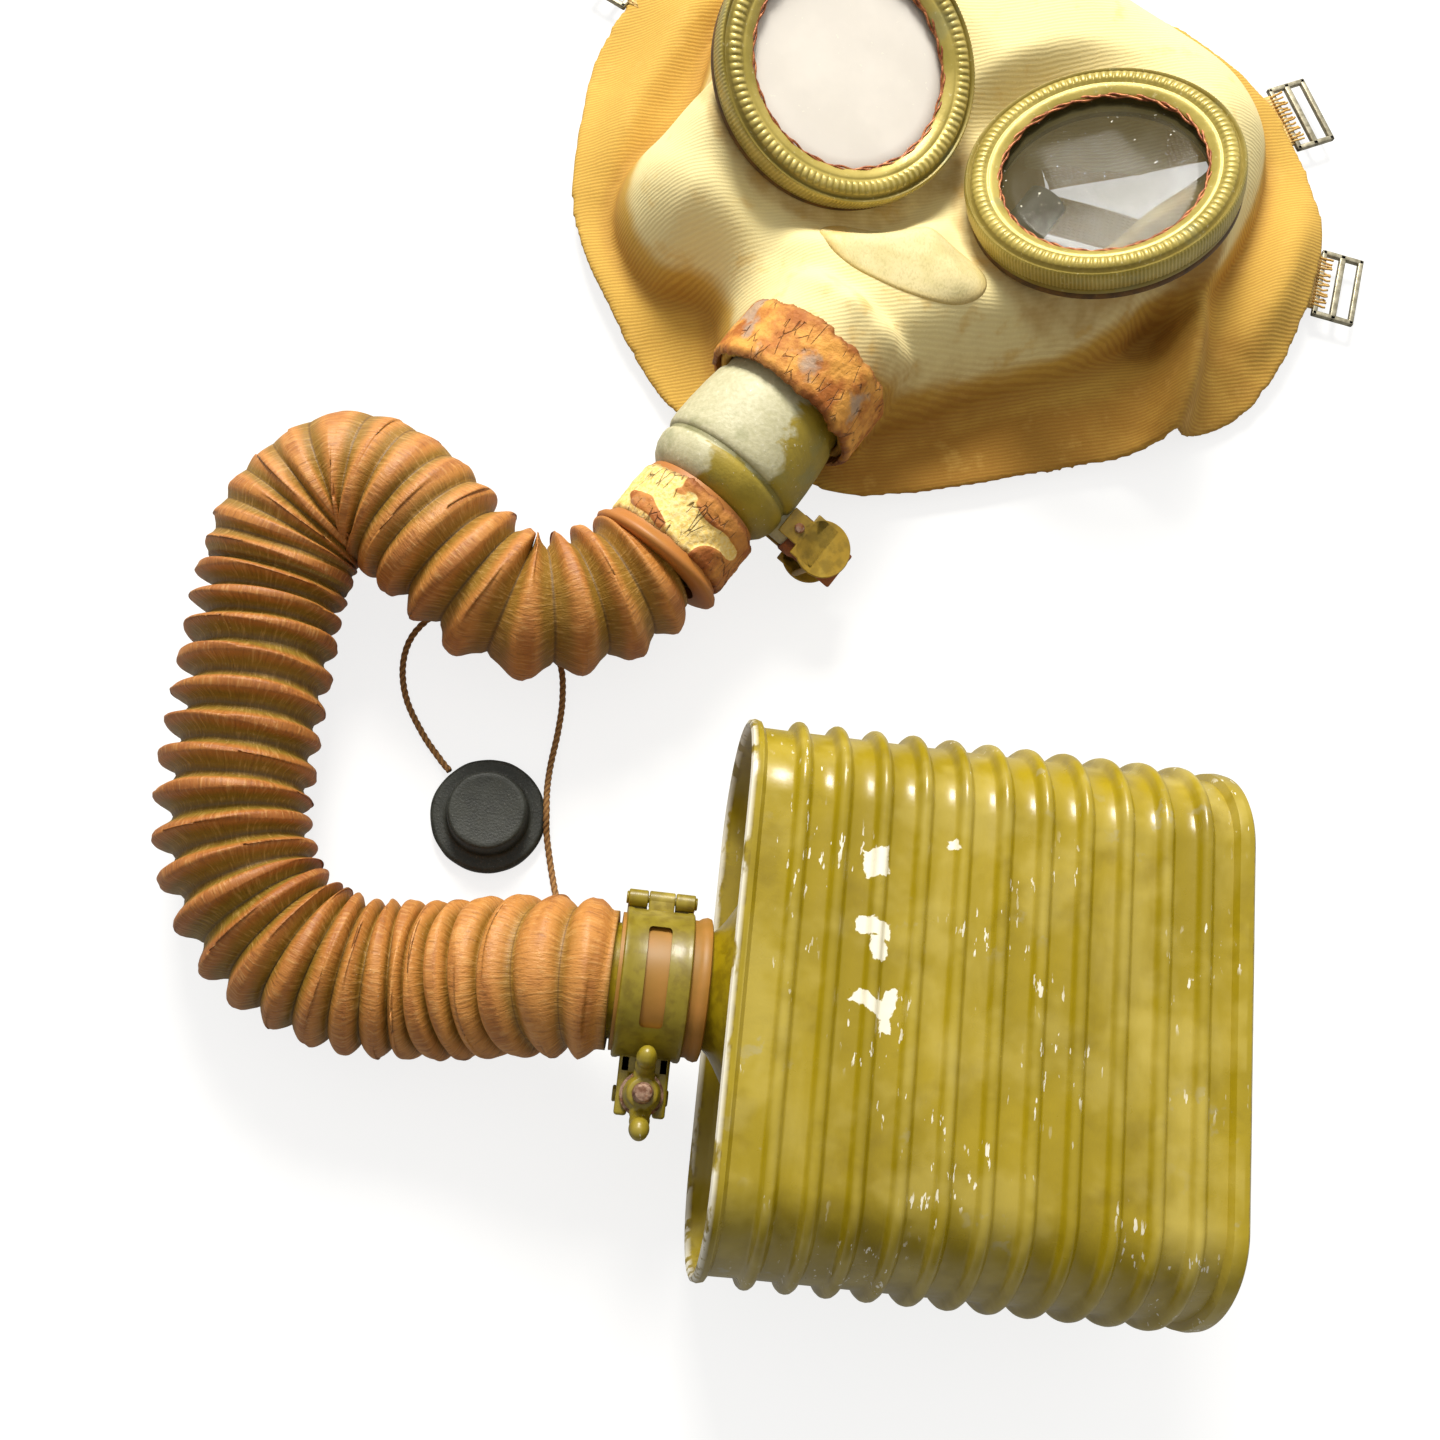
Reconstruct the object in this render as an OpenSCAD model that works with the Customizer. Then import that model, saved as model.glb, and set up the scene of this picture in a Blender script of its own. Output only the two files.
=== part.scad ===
// Hose-type smoke mask laid out flat: facepiece, angle tube, corrugated hose and oval canister.
// Millimetres, +Z up, resting on z = 0. The mask's chin points to the hose, the canister lies on
// its broad side with its neck towards -X.

/* [Canister] */
// Width of the canister over its ribs
can_width = 165; // [158:1:170]
// Thickness of the canister over its ribs
can_thick = 92; // [90:1:96]
// Length of the canister body between its end rims
can_length = 144; // [142:1:150]
// Height of a rib above the sheet between the ribs
rib_height = 3; // [2:0.5:4]
// Number of ribs round the canister
rib_count = 11; // [10:1:12]
// Thickness of the canister's sheet steel
sheet = 1; // [0.8:0.1:1.5]
// Diameter of the air inlet in the bottom cap
inlet_dia = 26; // [20:1:30]

/* [Neck and clamp] */
// Outer diameter of the canister's neck
neck_dia = 34; // [30:1:34]
// Wall of the hose's rubber cuff on the neck
cuff_wall = 3; // [3:0.5:3]
// Width of the clamp band along the neck
band_width = 20; // [18:1:24]
// Thickness of the clamp band
band_thick = 1.5; // [1.2:0.1:1.8]
// Diameter of the swing bolt
bolt_dia = 6; // [5:0.5:6]
// Lift of the wing nut when it is slackened
nut_lift = 4; // [2:0.5:4]

/* [Hose] */
// Outer diameter of the corrugated hose over its ridges
hose_dia = 49; // [44:1:50]
// Diameter of the stopper's string
string_dia = 2.2; // [1.5:0.1:3]
// Diameter of the stopper's flange
stopper_flange_dia = 37.4; // [34:0.2:38]

/* [Facepiece] */
// Distance between the two eyepiece centres
eye_spacing = 97.5; // [97:0.5:99]
// Outer radius of an eyepiece's screw ring
bezel_r = 46.5; // [46:0.5:46.5]
// Radius of the glass that is seen inside a screw ring
sight_r = 34.5; // [33:0.5:35]
// Lift of a screw ring when it is unscrewed
bezel_lift = 3; // [2:0.5:3]
// Thickness of the moulded rubber face
face_wall = 3; // [3:0.5:4]
// Height of the domed face above the table
face_height = 56; // [54:1:58]

/* [Hidden] */
$fn = 48;
fit = 0.06;            // running clearance on a radius
gap = 0.3;             // clearance between pieces that move past each other

// Places of the two halves on the table, and the shift that centres the whole on the origin
table_shift = [-9.4, -20.4, 0];
can_at = [15, -162];
mask_at = [-0.5, 136];
mask_turn = -21;

// Canister
rib_pitch = (can_length - 17) / rib_count;
rib_from = 12.4;         // neck end of the canister to the first rib
core_w = can_width - 2 * rib_height;
core_t = can_thick - 2 * rib_height;
room_w = core_w - 2 * sheet;
room_t = core_t - 2 * sheet;
can_x0 = -can_length / 2;
can_x1 = can_length / 2;
cap_deep = 10;         // depth of the dished neck end
seam_len = 6;          // length of the bottom cap's rolled seam
neck_x = can_x0 - 38;  // free end of the neck
neck_r = neck_dia / 2;
inlet_r = inlet_dia / 2;
plate_x = can_x1 - 4;  // outer face of the bottom plate
disc_x = plate_x - 5.5 - gap;  // valve disc's seated face
bed_w = room_w - 1;
bed_t = room_t - 1;

// Clamp, in the canister's frame
clamp_x = can_x0 - 20;
cuff_r = neck_r + cuff_wall;
band_in = cuff_r + gap;
band_out = band_in + band_thick;
hinge_y = band_out + 3.2;
knuckle_r = 2.6;
hinge_pin_r = 1.2;
bolt_y = -(band_out + 10.2);
bolt_r = bolt_dia / 2;
ear_top = 3.6;
ear_gap = 0.6;
eye_z = -6;            // height of the swing bolt's pivot
washer_z = ear_top + gap;
nut_z = washer_z + 1 + 0.1;

// Angle tube, in its own frame: Z runs from the chin to the hose
tube_at = [-45, 51.5, 36];
tube_heading = -121.7;
tube_dip = 5.9;
chin_tape = [0, 22];
hose_tape = [63, 85];
tube_end = 86;
spigot_r = 17;
valve_t = 50;          // place of the exhale valve along the tube
valve_drop = 15;       // its lean below the horizontal
stub_r = 6;
lip_w = 14;
lip_len = 14.5;
lip_pivot = [1.15, 36.4];
guard_x = 7.6;         // inner face of each guard plate
guard_y = 40;

// Hose: a route from the canister's cuff round to the angle tube
cuff_end = [can_at[0] + can_x0 - 40, can_at[1], can_thick / 2];
hose_route = [
    cuff_end, [-108, -162, 44], [-121, -163, 38], [-134, -165, 31], [-148, -167, 27],
    [-162, -167, 26], [-176, -165, 26], [-189, -159, 26], [-200, -149, 26], [-208, -136, 26],
    [-212, -121, 26], [-214, -105, 26], [-214, -89, 26], [-214, -73, 26], [-214, -58, 26],
    [-213, -44, 27], [-209, -30, 29], [-202, -19, 31], [-191, -13, 33], [-179, -15, 34],
    [-168, -22, 34], [-157, -31, 33], [-146, -39, 31], [-134, -44, 29], [-121, -43, 28],
    [-109, -38, 27], [-99, -31, 27], [-91.5, -23.5, 27]];

// String: from under the hose cuff, past the stopper, under the hose and back to the stopper
string_route = [
    [-100, -162, 24.8], [-103, -151, 15], [-107, -141, 7], [-110, -132, 2.5], [-113, -122, 1.2],
    [-115.5, -113, 3.5], [-116.5, -106, 6.4], [-117, -98, 4.5], [-117, -89, 1.5],
    [-116, -77, 1.2], [-116, -66, 1.2], [-118, -55, 1.2], [-124, -46, 1.2], [-134, -41, 1.2],
    [-146, -38, 1.2], [-157, -39, 1.2], [-164, -44, 1.2], [-169, -52, 1.2], [-170, -62, 1.2],
    [-167, -73, 1.2], [-160, -84, 1.2], [-153, -92, 1.6], [-149.5, -95.5, 2.4]];

stopper_at = [-135, -109];
stopper_h = [4.5, 13];

// Facepiece, in the mask's frame: +X to the right of the view, +Y to the forehead
skirt_z = [1.7, 4.7];
skirt_outline = [
    [-58, -118], [-22, -125], [15, -122], [45, -103], [71, -82], [115, -43], [135, -11],
    [136, 20], [128, 60], [100, 96], [55, 113], [0, 117], [-60, 113], [-105, 92], [-134, 48],
    [-142, 5], [-137, -23], [-122, -62], [-100, -87]];
// Each level of the dome: height as a share of the whole, half width, half length, centre
dome_levels = [
    [0.03, 100, 98, -1], [0.25, 97, 95, -2], [0.5, 91, 90, -4],
    [0.75, 83, 82, -8], [0.92, 68, 72, -12], [1, 50, 60, -16]];
dome_sides = 40;

// Eyepieces: place, height and lean in the mask's frame
eye_names = ["left", "right"];
eye_x = [-eye_spacing / 2 - 0.5, eye_spacing / 2 - 0.5];
eye_y = [-3.8, 2.3];
eye_h = [55.8, 54];
eye_lean = [9, -3];    // about the mask's X axis
eye_tip = [20, -21];   // towards the nose
collar_r = 43;
glass_r = 37;
lip_z = 8.1;

tab_places = [[-136, 30, 175], [-96, 98, 130], [0, 116, 90], [96, 98, 48], [132, 42, 12]];

// ---------- frames ----------

module on_table() translate(table_shift) children();

module at_canister() on_table() translate([can_at[0], can_at[1], can_thick / 2]) children();

module at_mask() on_table() translate([mask_at[0], mask_at[1], 0]) rotate([0, 0, mask_turn])
    children();

module at_eye(i) at_mask() translate([eye_x[i], eye_y[i], eye_h[i]]) rotate([eye_lean[i], 0, 0])
    rotate([0, eye_tip[i], 0]) children();

module at_tube() on_table() translate(tube_at) rotate([0, 90 + tube_dip, tube_heading])
    children();

// The valve's frame: +Y points out of the tube's side, +Z along the tube
module at_valve() at_tube() translate([0, 0, valve_t]) rotate([0, 0, -valve_drop]) children();

// ---------- shared shapes ----------

// Flat-sided oval bar along X
module oval(w, t, x0, x1) translate([x0, 0, 0]) rotate([0, 90, 0]) linear_extrude(x1 - x0) {
    square([t, w - t], center = true);
    for (s = [-1, 1]) translate([0, s * (w - t) / 2]) circle(d = t, $fn = 96);
}

// Round bar along X
module bar_x(r, x0, x1, sides = 48) translate([x0, 0, 0]) rotate([0, 90, 0])
    cylinder(r = r, h = x1 - x0, $fn = sides);

module tube_z(r_out, r_in, z0, z1) translate([0, 0, z0]) difference() {
    cylinder(r = r_out, h = z1 - z0, $fn = 96);
    translate([0, 0, -1]) cylinder(r = r_in, h = z1 - z0 + 2, $fn = 96);
}

function unit(v) = v / norm(v);
function heading(pts, i) = unit(pts[min(i + 1, len(pts) - 1)] - pts[max(i - 1, 0)]);
// Side direction of a ring, kept level so that the tube doesn't twist
function level_side(t) = norm([t[0], t[1]]) < 0.01 ? [1, 0, 0] : unit([-t[1], t[0], 0]);

// Tube of one radius swept along a route
module swept_tube(pts, r, sides) {
    n = len(pts);
    rings = [for (i = [0 : n - 1]) let (t = heading(pts, i), a = level_side(t), b = cross(t, a))
        for (k = [0 : sides - 1]) pts[i] + r * (cos(360 * k / sides) * a
            + sin(360 * k / sides) * b)];
    walls = [for (i = [0 : n - 2], k = [0 : sides - 1]) let (m = (k + 1) % sides)
        each [[i * sides + k, (i + 1) * sides + k, (i + 1) * sides + m],
              [i * sides + k, (i + 1) * sides + m, i * sides + m]]];
    ends = [[for (k = [0 : sides - 1]) k], [for (k = [sides - 1 : -1 : 0]) (n - 1) * sides + k]];
    polyhedron(rings, concat(walls, ends), convexity = 10);
}

// ---------- canister ----------

module canister_body() color("#A3902B") at_canister() difference() {
    union() {
        oval(core_w, core_t, can_x0, can_x1 - seam_len);
        oval(can_width - 2, can_thick - 2, can_x0, can_x0 + 3);
        for (i = [0 : rib_count - 1]) let (x = can_x0 + rib_from + i * rib_pitch) {
            oval(can_width, can_thick, x, x + 4);
            oval(can_width - 3, can_thick - 3, x - 1.5, x + 5.5);
        }
    }
    oval(room_w, room_t, can_x0 - 1, can_x1 + 1);
}

module neck_cap() color("#9A8826") at_canister() {
    difference() {
        oval(room_w, room_t, can_x0, can_x0 + cap_deep);
        oval(room_w - 2 * sheet, room_t - 2 * sheet, can_x0 - 1, can_x0 + cap_deep - sheet);
        bar_x(neck_r - 1.5, can_x0 - 1, can_x0 + cap_deep + 1, 96);
    }
    translate([neck_x, 0, 0]) rotate([0, 90, 0]) rotate_extrude($fn = 96) polygon([
        [neck_r - 1.5, 0], [neck_r, 0], [neck_r, 40], [neck_r + 2, 43], [neck_r + 6, 46],
        [neck_r + 6, 47.5], [neck_r - 1.5, 47.5]]);
}

module bottom_cap() color("#9A8826") at_canister() difference() {
    union() {
        oval(can_width - 1, can_thick - 1, can_x1 - seam_len, can_x1);
        bar_x(inlet_r + 1.5, plate_x - 5.5, plate_x, 96);
    }
    oval(room_w - 2, room_t - 2, plate_x, can_x1 + 1);
    difference() {
        oval(room_w - 2, room_t - 2, can_x1 - seam_len - 1, plate_x - sheet);
        bar_x(inlet_r + 1.5, can_x1 - seam_len - 2, plate_x, 96);
    }
    bar_x(inlet_r, plate_x - 8, plate_x + 1, 96);
}

// Cage under the plate with the pin that guides the valve disc
module inlet_valve_guide() color("#8A8A80") at_canister() {
    difference() {
        bar_x(inlet_r + 7, plate_x - 12, plate_x - sheet, 96);
        bar_x(inlet_r + 5.5, plate_x - 13, plate_x, 96);
    }
    intersection() {
        bar_x(inlet_r + 6, plate_x - 12, plate_x - 10.5, 96);
        union() for (a = [0, 60, 120]) rotate([a, 0, 0])
            translate([plate_x - 11.25, 0, 0]) cube([4, 60, 4], center = true);
    }
    bar_x(2, plate_x - 11, disc_x - 0.2);
}

module inlet_valve_disc() color("#2C2C28") at_canister() difference() {
    bar_x(inlet_r + 4, disc_x - 1.5, disc_x, 96);
    bar_x(2 + fit, disc_x - 3, disc_x + 1);
}

module screen_plate(x) difference() {
    oval(bed_w, bed_t, x, x + 1.5);
    for (i = [-4 : 4], j = [-2 : 2]) translate([0, i * 15, j * 14]) bar_x(4, x - 1, x + 3);
}

module inlet_screen() color("#8A8A80") at_canister() screen_plate(can_x1 - 19);
module charcoal_bed() color("#222220") at_canister() oval(bed_w, bed_t, can_x0 + 82, can_x1 - 19);
module filter_pad() color("#E8E0C8") at_canister() oval(bed_w, bed_t, can_x0 + 74, can_x0 + 82);
module soda_lime_bed() color("#C9C4B4") at_canister() oval(bed_w, bed_t, can_x0 + 34, can_x0 + 74);
module outlet_screen() color("#8A8A80") at_canister() screen_plate(can_x0 + 32.5);

// Bowed leaf spring that presses the outlet screen on the beds
module pressure_spring() color("#6E6E68") at_canister() {
    leaf = [for (y = [-60 : 6 : 60]) [can_x0 + cap_deep + 2.5 + 18 * (1 - pow(y / 60, 2)), y]];
    for (z = [-24, 24]) translate([0, 0, z - 6]) linear_extrude(12)
        polygon(concat(leaf, [for (i = [len(leaf) - 1 : -1 : 0]) leaf[i] + [1.5, 0]]));
}

// ---------- clamp ----------

module half_band(up) intersection() {
    difference() {
        bar_x(band_out, clamp_x - band_width / 2, clamp_x + band_width / 2, 96);
        bar_x(band_in, clamp_x - band_width, clamp_x + band_width, 96);
    }
    translate([clamp_x, 0, up * 30]) cube([60, 100, 60 - 0.8], center = true);
}

// One hinge knuckle with its leaf
module knuckle(x0, x1, up) {
    difference() {
        union() {
            translate([0, hinge_y, 0]) bar_x(knuckle_r, x0, x1);
            translate([x0, band_in + 0.4, up > 0 ? 0.6 : -2.4])
                cube([x1 - x0, hinge_y - band_in - 0.4, 1.8]);
        }
        translate([0, hinge_y, 0]) bar_x(hinge_pin_r + (up > 0 ? fit : 0), x0 - 1, x1 + 1);
    }
}

module clamp_lower() color("#8F8230") at_canister() {
    half_band(-1);
    for (s = [-1, 1]) let (x = clamp_x + s * (band_width / 2 - 2.9))
        knuckle(x - 2.9, x + 2.9, -1);
    for (s = [-1, 1]) difference() {
        translate([clamp_x + s * 5.2 - 1.8, bolt_y - 5, -11])
            cube([3.6, -band_in - bolt_y + 4.5, 10.4]);
        translate([0, bolt_y, eye_z]) bar_x(1.5, clamp_x - 9, clamp_x + 9);
    }
}

module clamp_upper() color("#98893A") at_canister() difference() {
    union() {
        half_band(1);
        knuckle(clamp_x - 3.9, clamp_x + 3.9, 1);
        translate([clamp_x - 7.5, bolt_y - 6.5, ear_gap])
            cube([15, -band_in - bolt_y + 6, ear_top - ear_gap]);
    }
    translate([clamp_x, bolt_y, 0]) cylinder(r = bolt_r + 0.6, h = 20, center = true);
    translate([clamp_x - bolt_r - 0.6, bolt_y - 20, -5]) cube([2 * bolt_r + 1.2, 20, 20]);
    translate([clamp_x - 3.5, -14, band_in / 2]) cube([7, 28, 40]);
}

module clamp_hinge_pin() color("#6F6A45") at_canister() translate([0, hinge_y, 0]) {
    bar_x(hinge_pin_r, clamp_x - band_width / 2 - 1, clamp_x + band_width / 2 + 1);
    for (s = [-1, 1]) let (x = clamp_x + s * (band_width / 2 + 0.5)) bar_x(1.9, x - 0.5, x + 0.5);
}

module swing_bolt() color("#7A5A34") at_canister() difference() {
    union() {
        translate([0, bolt_y, eye_z]) bar_x(4.2, clamp_x - 3.2, clamp_x + 3.2);
        translate([clamp_x, bolt_y, eye_z]) cylinder(r = bolt_r, h = 24.5);
        translate([clamp_x, bolt_y, eye_z + 24.5]) cylinder(r1 = bolt_r, r2 = bolt_r - 0.8, h = 0.8);
    }
    translate([0, bolt_y, eye_z]) bar_x(1.5, clamp_x - 9, clamp_x + 9);
}

module swing_bolt_pin() color("#6F6A45") at_canister() translate([0, bolt_y, eye_z]) {
    bar_x(1.5, clamp_x - 7.6, clamp_x + 7.6);
    for (s = [-1, 1]) bar_x(2.4, clamp_x + s * 7.6 - 0.6, clamp_x + s * 7.6 + 0.6);
}

module clamp_washer() color("#7D7040") at_canister() translate([clamp_x, bolt_y, 0])
    tube_z(6.4, bolt_r + fit, washer_z, washer_z + 1);

module wing_nut() color("#8F8230") at_canister() translate([clamp_x, bolt_y, nut_z]) difference() {
    union() {
        cylinder(r1 = 5.6, r2 = 4.4, h = 7.5);
        for (s = [0, 180]) rotate([90, 0, 90 + s]) linear_extrude(2.6, center = true)
            polygon([[3, 2], [6, 3.2], [11, 6.4], [13, 8.6], [13.3, 11], [12.2, 13.2], [10, 13.6],
                [7.6, 12], [5.6, 9], [3, 7.2]]);
    }
    translate([0, 0, -1]) cylinder(r = bolt_r + fit, h = 12);
}

// ---------- hose and stopper ----------

module hose_cuff() color("#B4723A") at_canister() difference() {
    union() {
        bar_x(cuff_r, can_x0 - 40, can_x0 - 5, 96);
        bar_x(cuff_r + 1, can_x0 - 8.5, can_x0 - 5, 96);
    }
    bar_x(neck_r, neck_x, can_x0, 96);
    bar_x(neck_r - 2, can_x0 - 41, can_x0, 96);
}

module breathing_hose() color("#A8662F") on_table() swept_tube(hose_route, hose_dia / 2, 12);

module stopper_string() color("#9A6B3C") on_table() swept_tube(string_route, string_dia / 2, 8);

module stopper() color("#22261F") on_table() translate([stopper_at[0], stopper_at[1], 0])
    rotate_extrude($fn = 96) polygon([
        [0, 0], [stopper_flange_dia / 2 - 1, 0], [stopper_flange_dia / 2, 1],
        [stopper_flange_dia / 2, stopper_h[0] - 0.8], [stopper_flange_dia / 2 - 1, stopper_h[0]],
        [inlet_r + 0.3, stopper_h[0]], [inlet_r - 0.2, stopper_h[1] - 1],
        [inlet_r - 1.2, stopper_h[1]], [0, stopper_h[1]]]);

// ---------- angle tube and exhale valve ----------

module angle_tube() color("#9C9A62") at_tube() difference() {
    rotate_extrude($fn = 96) polygon([
        [0, -8], [22.5, -8], [22.5, 22.3], [24, 24], [24.4, 40], [23.4, 41.5], [25, 43], [25.2, 52],
        [24, 58], [20.5, 62], [spigot_r, 63], [spigot_r, tube_end], [0, tube_end]]);
    rotate_extrude($fn = 96) polygon([
        [0, -9], [21, -9], [21, 50], [15.5, 60], [15.5, tube_end + 1], [0, tube_end + 1]]);
    rotate([0, 0, -valve_drop]) translate([0, 0, valve_t]) rotate([-90, 0, 0])
        cylinder(r = stub_r, h = 40);
}

module hose_end_cuff() color("#C98F4A") at_tube() {
    tube_z(spigot_r + 3.5, spigot_r, 64, tube_end);
    tube_z(hose_dia / 2 - 0.5, spigot_r, tube_end, tube_end + 2.5);
}

module hose_tape_band() color("#B56A2E") at_tube()
    tube_z(spigot_r + 5.2, spigot_r + 3.5, hose_tape[0] + 1, hose_tape[1]);

module chin_tape_band() color("#B5672C") at_tube() tube_z(28.6, 26.5, chin_tape[0], chin_tape[1]);

module exhale_valve_stub() color("#8F8B4E") at_valve() translate([0, 21, 0]) rotate([-90, 0, 0])
    tube_z(stub_r, stub_r - 1.2, 0, 13);

// Flat rubber outlet: a collar on the stub and the fixed upper lip
module flutter_valve() color("#7A4A2A") at_valve() {
    translate([0, 29, 0]) rotate([-90, 0, 0]) tube_z(stub_r + 1.3, stub_r, 0, 5);
    translate([0, 34, 0]) rotate([-90, 0, 0]) tube_z(stub_r + 1.3, stub_r - 1.2, 0, 1.5);
    translate([-1.7, 35.5, -lip_w / 2]) cube([1.5, lip_len + 1, lip_w]);
}

module flutter_lip() color("#7A4A2A") at_valve() {
    translate([lip_pivot[0], lip_pivot[1], -lip_w / 2 + 0.5]) cylinder(r = 0.75, h = lip_w - 1);
    translate([lip_pivot[0] - 0.75, lip_pivot[1], -lip_w / 2 + 0.5]) cube([1.5, lip_len, lip_w - 1]);
}

// Two painted plates over and under the lips, with a strip each to the tube and two posts
module valve_guard() color("#8A8230") at_valve() {
    for (x = [-guard_x - 1, guard_x]) translate([x, 0, 0]) rotate([0, 90, 0]) linear_extrude(1) {
        translate([0, guard_y]) circle(r = 9.6);
        translate([-5, 24.2]) square([10, 12]);
    }
    for (z = [-8.4, 8.4]) translate([0, guard_y, z]) bar_x(1.1, -guard_x - 0.5, guard_x + 0.5, 24);
}

module valve_guard_screws() color("#8A7A4A") at_valve() for (x = [-guard_x - 2, guard_x + 1])
    translate([0, 29.5, 0]) bar_x(1.7, x, x + 1);

// ---------- facepiece ----------

// Closed stack of superellipse rings that narrows upwards, shrunk by inset on every side
module dome(inset) {
    n = len(dome_levels);
    pts = [for (l = dome_levels) for (k = [0 : dome_sides - 1])
        let (a = 360 * k / dome_sides, c = cos(a), s = sin(a), e = 2 / 2.4,
             z = l == dome_levels[0] && inset > 0 ? -5 : face_height * l[0] - inset)
        [(l[1] - inset) * sign(c) * pow(abs(c), e),
         l[3] + (l[2] - inset) * sign(s) * pow(abs(s), e), z]];
    walls = [for (i = [0 : n - 2], k = [0 : dome_sides - 1]) let (m = (k + 1) % dome_sides)
        each [[i * dome_sides + k, (i + 1) * dome_sides + k, (i + 1) * dome_sides + m],
              [i * dome_sides + k, (i + 1) * dome_sides + m, i * dome_sides + m]]];
    polyhedron(pts, concat(walls, [[for (k = [0 : dome_sides - 1]) k],
        [for (k = [dome_sides - 1 : -1 : 0]) (n - 1) * dome_sides + k]]), convexity = 4);
}

module facepiece() color("#E3BE72") difference() {
    union() {
        at_mask() dome(0);
        at_mask() translate([0, 0, skirt_z[0]]) linear_extrude(skirt_z[1] - skirt_z[0])
            polygon(skirt_outline);
        for (i = [0, 1]) at_eye(i) translate([0, 0, -38]) cylinder(r = 42, h = 35, $fn = 96);
        at_tube() translate([0, 0, -24]) cylinder(r = 26.5, h = 46, $fn = 96);
    }
    at_mask() dome(face_wall);
    for (i = [0, 1]) at_eye(i) {
        translate([0, 0, -22]) cylinder(r = 36, h = 40, $fn = 96);
        translate([0, 0, -3]) cylinder(r = bezel_r + 1, h = 40, $fn = 96);
    }
    at_tube() translate([0, 0, -40]) cylinder(r = 22.5, h = 70, $fn = 96);
    at_tube() tube_z(34, 26.5, chin_tape[0], 60);
}

module nose_patch() color("#C9C08E") at_mask() translate([-1, -58, face_height]) rotate([0, 0, -4])
    linear_extrude(1) polygon([for (a = [0 : 12 : 348]) [31 * cos(a), 12.5 * sin(a)]]);

// Rubber ducts that blow the clean air across the glasses
module air_deflector() color("#2E3226") at_mask() for (s = [-1, 1]) difference() {
    duct(s, 9, 6.4, 5.6, 0);
    duct(s, 7, 4.8, 4.2, 8);
}

// One duct: radius at the chin, at the bend and at its mouth, run on past both ends
module duct(s, chin, bend, mouth, past) {
    hull() {
        translate([s * 9 - 8, -70 - past * 0.7, 20]) sphere(r = chin, $fn = 24);
        translate([s * 26, -24, 33]) sphere(r = bend, $fn = 24);
    }
    hull() {
        translate([s * 26, -24, 33]) sphere(r = bend, $fn = 24);
        translate([s * 33, 2 + past, 31]) sphere(r = mouth, $fn = 24);
    }
}

// ---------- eyepieces ----------

module eye_seat(i) color("#3A2F22") at_eye(i) tube_z(bezel_r - 1.5, 36, -3, 0);

module eye_frame(i) color("#8C7F3A") at_eye(i) difference() {
    union() {
        cylinder(r = bezel_r - 0.6, h = 2, $fn = 96);
        cylinder(r = collar_r, h = 7.6, $fn = 96);
    }
    translate([0, 0, -1]) cylinder(r = 35, h = 12, $fn = 96);
    translate([0, 0, 2]) cylinder(r = glass_r, h = 12, $fn = 96);
}

module lens(i) color("#D9E0D8") at_eye(i) translate([0, 0, 2])
    cylinder(r = glass_r, h = 3.4, $fn = 96);

module lens_ring(i) color("#8A4A2A") at_eye(i)
    tube_z(glass_r - gap, sight_r - 1, 5.4 + gap, lip_z - 0.1);

// Knurled screw ring: smooth bevel inside, fluted top, milled edge
module bezel(i) color("#94873A") at_eye(i) difference() {
    rotate_extrude($fn = 96) polygon([
        [collar_r + fit, 2.3], [bezel_r - 0.4, 2.3], [bezel_r, 3], [bezel_r, 9], [bezel_r - 1, 10],
        [bezel_r - 2.2, 10], [bezel_r - 2.8, 9.4], [bezel_r - 3.6, 11.2], [bezel_r - 8, 11.2],
        [sight_r + 0.6, lip_z + 0.6], [sight_r, lip_z], [collar_r + fit, lip_z]]);
    for (k = [0 : 11]) rotate([0, 0, 30 * k]) translate([bezel_r + 0.3, 0, 0])
        cylinder(r = 0.8, h = 20, $fn = 24);
}

module eye_seat_left() eye_seat(0);
module eye_seat_right() eye_seat(1);
module eye_frame_left() eye_frame(0);
module eye_frame_right() eye_frame(1);
module lens_left() lens(0);
module lens_right() lens(1);
module lens_ring_left() lens_ring(0);
module lens_ring_right() lens_ring(1);
module bezel_left() bezel(0);
module bezel_right() bezel(1);

// ---------- head harness, folded under the facepiece ----------

module at_tab(t) at_mask() translate([t[0], t[1], 0]) rotate([0, 0, t[2]]) children();

module harness_tabs() color("#D8B870") for (t = tab_places) at_tab(t)
    translate([-15, -11, skirt_z[1]]) cube([19, 22, 1.6]);

module harness_buckles() color("#8A8468") for (t = tab_places) at_tab(t)
    translate([4, 0, skirt_z[1] + 0.8]) difference() {
        translate([0, -14, -1]) cube([16, 28, 2]);
        for (x = [2, 9]) translate([x, -12, -2]) cube([5, 24, 4]);
    }

module head_straps() color("#C9A96A") for (t = tab_places) at_mask() let (
    from = [t[0], t[1]], to = [0, 14], run = norm(to - from),
    turn = atan2(to[1] - from[1], to[0] - from[0]))
    translate([from[0], from[1], 0]) rotate([0, 0, turn])
        translate([0, -8, 0]) cube([run - 35, 16, 1.5]);

module head_pad() color("#CDB07A") at_mask() translate([0, 14, 0]) linear_extrude(4)
    polygon([for (a = [0 : 15 : 345]) [34 * cos(a), 34 * sin(a)]]);

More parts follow.
